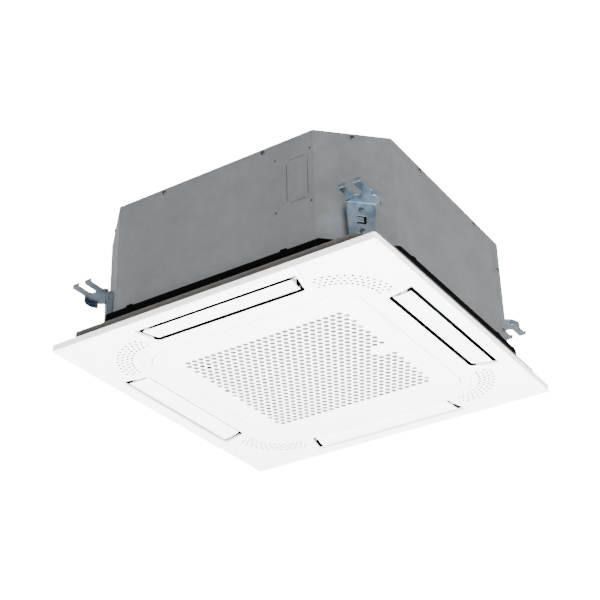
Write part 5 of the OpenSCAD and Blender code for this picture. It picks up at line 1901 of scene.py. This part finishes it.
@dataclass
class ControlGear:
    """The circuit board, the terminals, the cable gland and the louver bushes."""

    def build(self) -> None:
        """Builds the control gear's pieces."""
        for node, finish, width in (
                ("circuit_board", BOARD, 0.2), ("terminal_block", TERMINAL, 0.4),
                ("cable_gland", GLAND, 0.5), ("louver_bushes", BUSH, 0.2)):
            dress(node, finish, width)


@dataclass
class Studio:
    """Pale floor, soft light, white surroundings and the photograph's camera."""

    azimuth: float = 31.87
    elevation: float = -29.91
    roll: float = -1.52
    distance: float = 2.440
    lens: float = 85.2
    shift_right: float = -0.0159
    shift_up: float = 0.1247
    floor_z: float = -1.75
    floor_size: float = 9.0
    soft_light: float = 0.6
    backdrop: float = 17
    under: float = 400
    wash: float = 110
    side: float = 120
    sensor: float = 36
    sight: float = 50
    under_place: tuple[float, float, float] = (0.25, -0.35, 0.12)
    under_size: float = 2.2
    wash_places: tuple[Point, ...] = ((2.3, 0), (0, 2.3), (-2.3, 0), (0, -2.6))
    wash_rise: float = 0.85
    wash_size: float = 2.0
    side_place: tuple[float, float, float] = (2.4, -0.3, -1.0)
    side_size: float = 1.2

    def axes(self) -> tuple[Vector, Vector, Vector]:
        """The camera's right, up and forward directions.

        Returns:
            The three directions.
        """
        a, e, r = (math.radians(v) for v in (self.azimuth, self.elevation, self.roll))
        forward = Vector((-math.sin(a) * math.cos(e), math.cos(a) * math.cos(e), -math.sin(e)))
        right = forward.cross(Vector((0, 0, 1))).normalized()
        up = right.cross(forward)
        return (right * math.cos(r) + up * math.sin(r), up * math.cos(r) - right * math.sin(r),
                forward)

    def camera(self) -> None:
        """Sets the scene's camera where the photograph was taken."""
        right, up, forward = self.axes()
        data = bpy.data.cameras.new("photo_camera")
        data.lens, data.sensor_width, data.clip_end = self.lens, self.sensor, self.sight
        camera = bpy.data.objects.new("photo_camera", data)
        place = right * self.shift_right + up * self.shift_up - forward * self.distance
        basis = Matrix((right, up, -forward)).transposed().to_4x4()
        camera.matrix_world = Matrix.Translation(place) @ basis
        bpy.context.scene.collection.objects.link(camera)
        bpy.context.scene.camera = camera

    def lamp(self, name: str, place: Sequence[float], size: float, power: float,
             aim: Sequence[float] = (0, 0, 0.1)) -> bpy.types.Object:
        """Adds a soft square lamp.

        Args:
            name: Name of the lamp.
            place: Where it stands, in metres.
            size: Width of the lamp in metres.
            power: Power in watts.
            aim: Point that it faces.

        Returns:
            The lamp.
        """
        data = bpy.data.lights.new(name, "AREA")
        data.size, data.energy = size, power
        lamp = bpy.data.objects.new(name, data)
        lamp.location = place
        lamp.visible_camera = False
        lamp.rotation_euler = (Vector(aim) - Vector(place)).to_track_quat("-Z", "Y").to_euler()
        bpy.context.scene.collection.objects.link(lamp)
        return lamp

    def surroundings(self) -> None:
        """Sets white surroundings that light the unit more softly than they look."""
        world = bpy.data.worlds.new("surroundings")
        world.use_nodes = True
        tree = world.node_tree
        seen = tree.nodes.new("ShaderNodeLightPath").outputs["Is Camera Ray"]
        strength = tree.nodes.new("ShaderNodeMapRange")
        tree.links.new(seen, strength.inputs["Value"])
        strength.inputs["To Min"].default_value = self.soft_light
        strength.inputs["To Max"].default_value = self.backdrop
        background = tree.nodes["Background"]
        background.inputs["Color"].default_value = (1, 1, 1, 1)
        tree.links.new(strength.outputs["Result"], background.inputs["Strength"])
        bpy.context.scene.world = world

    def build(self) -> None:
        """Sets the floor, the light, the surroundings and the camera."""
        half, level = self.floor_size / 2 / MM, self.floor_z / MM
        corners = [(-half, -half, level), (half, -half, level), (half, half, level),
                   (-half, half, level)]
        floor = Piece.from_lists("floor", corners, [(0, 1, 2, 3)])
        paint = ShaderGraph("floor_paint")
        paint.feed(paint.surface, Base_Color=(0.86, 0.86, 0.86, 1), Roughness=0.9)
        floor.obj.data.materials.append(paint.material)
        self.surroundings()
        x, y, rise = self.under_place
        lamps = [self.lamp("under_lamp", (x, y, self.floor_z + rise), self.under_size, self.under)]
        for number, (x, y) in enumerate(self.wash_places):
            place = (x, y, self.floor_z + self.wash_rise)
            lamps.append(self.lamp(f"floor_lamp_{number}", place, self.wash_size, self.wash,
                                   (x, y, self.floor_z)))
        lamps.append(self.lamp("side_lamp", self.side_place, self.side_size, self.side))
        self.camera()


def main() -> None:
    """Builds the whole unit and its studio, piece by piece."""
    logging.basicConfig(level=logging.INFO, format="%(message)s")
    assemblies = [DecorationPanel(), InletGrille(), BodyShell(), FastenerSet(), FanUnit(),
                  CoilAndPipes(), DrainGear(), ControlGear()]
    for assembly in assemblies:
        LOG.info("%s", type(assembly).__name__)
        assembly.build()
    for index, side in enumerate(Side, 1):
        OutletLouver().build(side, index)
    Studio().build()


if __name__ == "__main__":
    main()
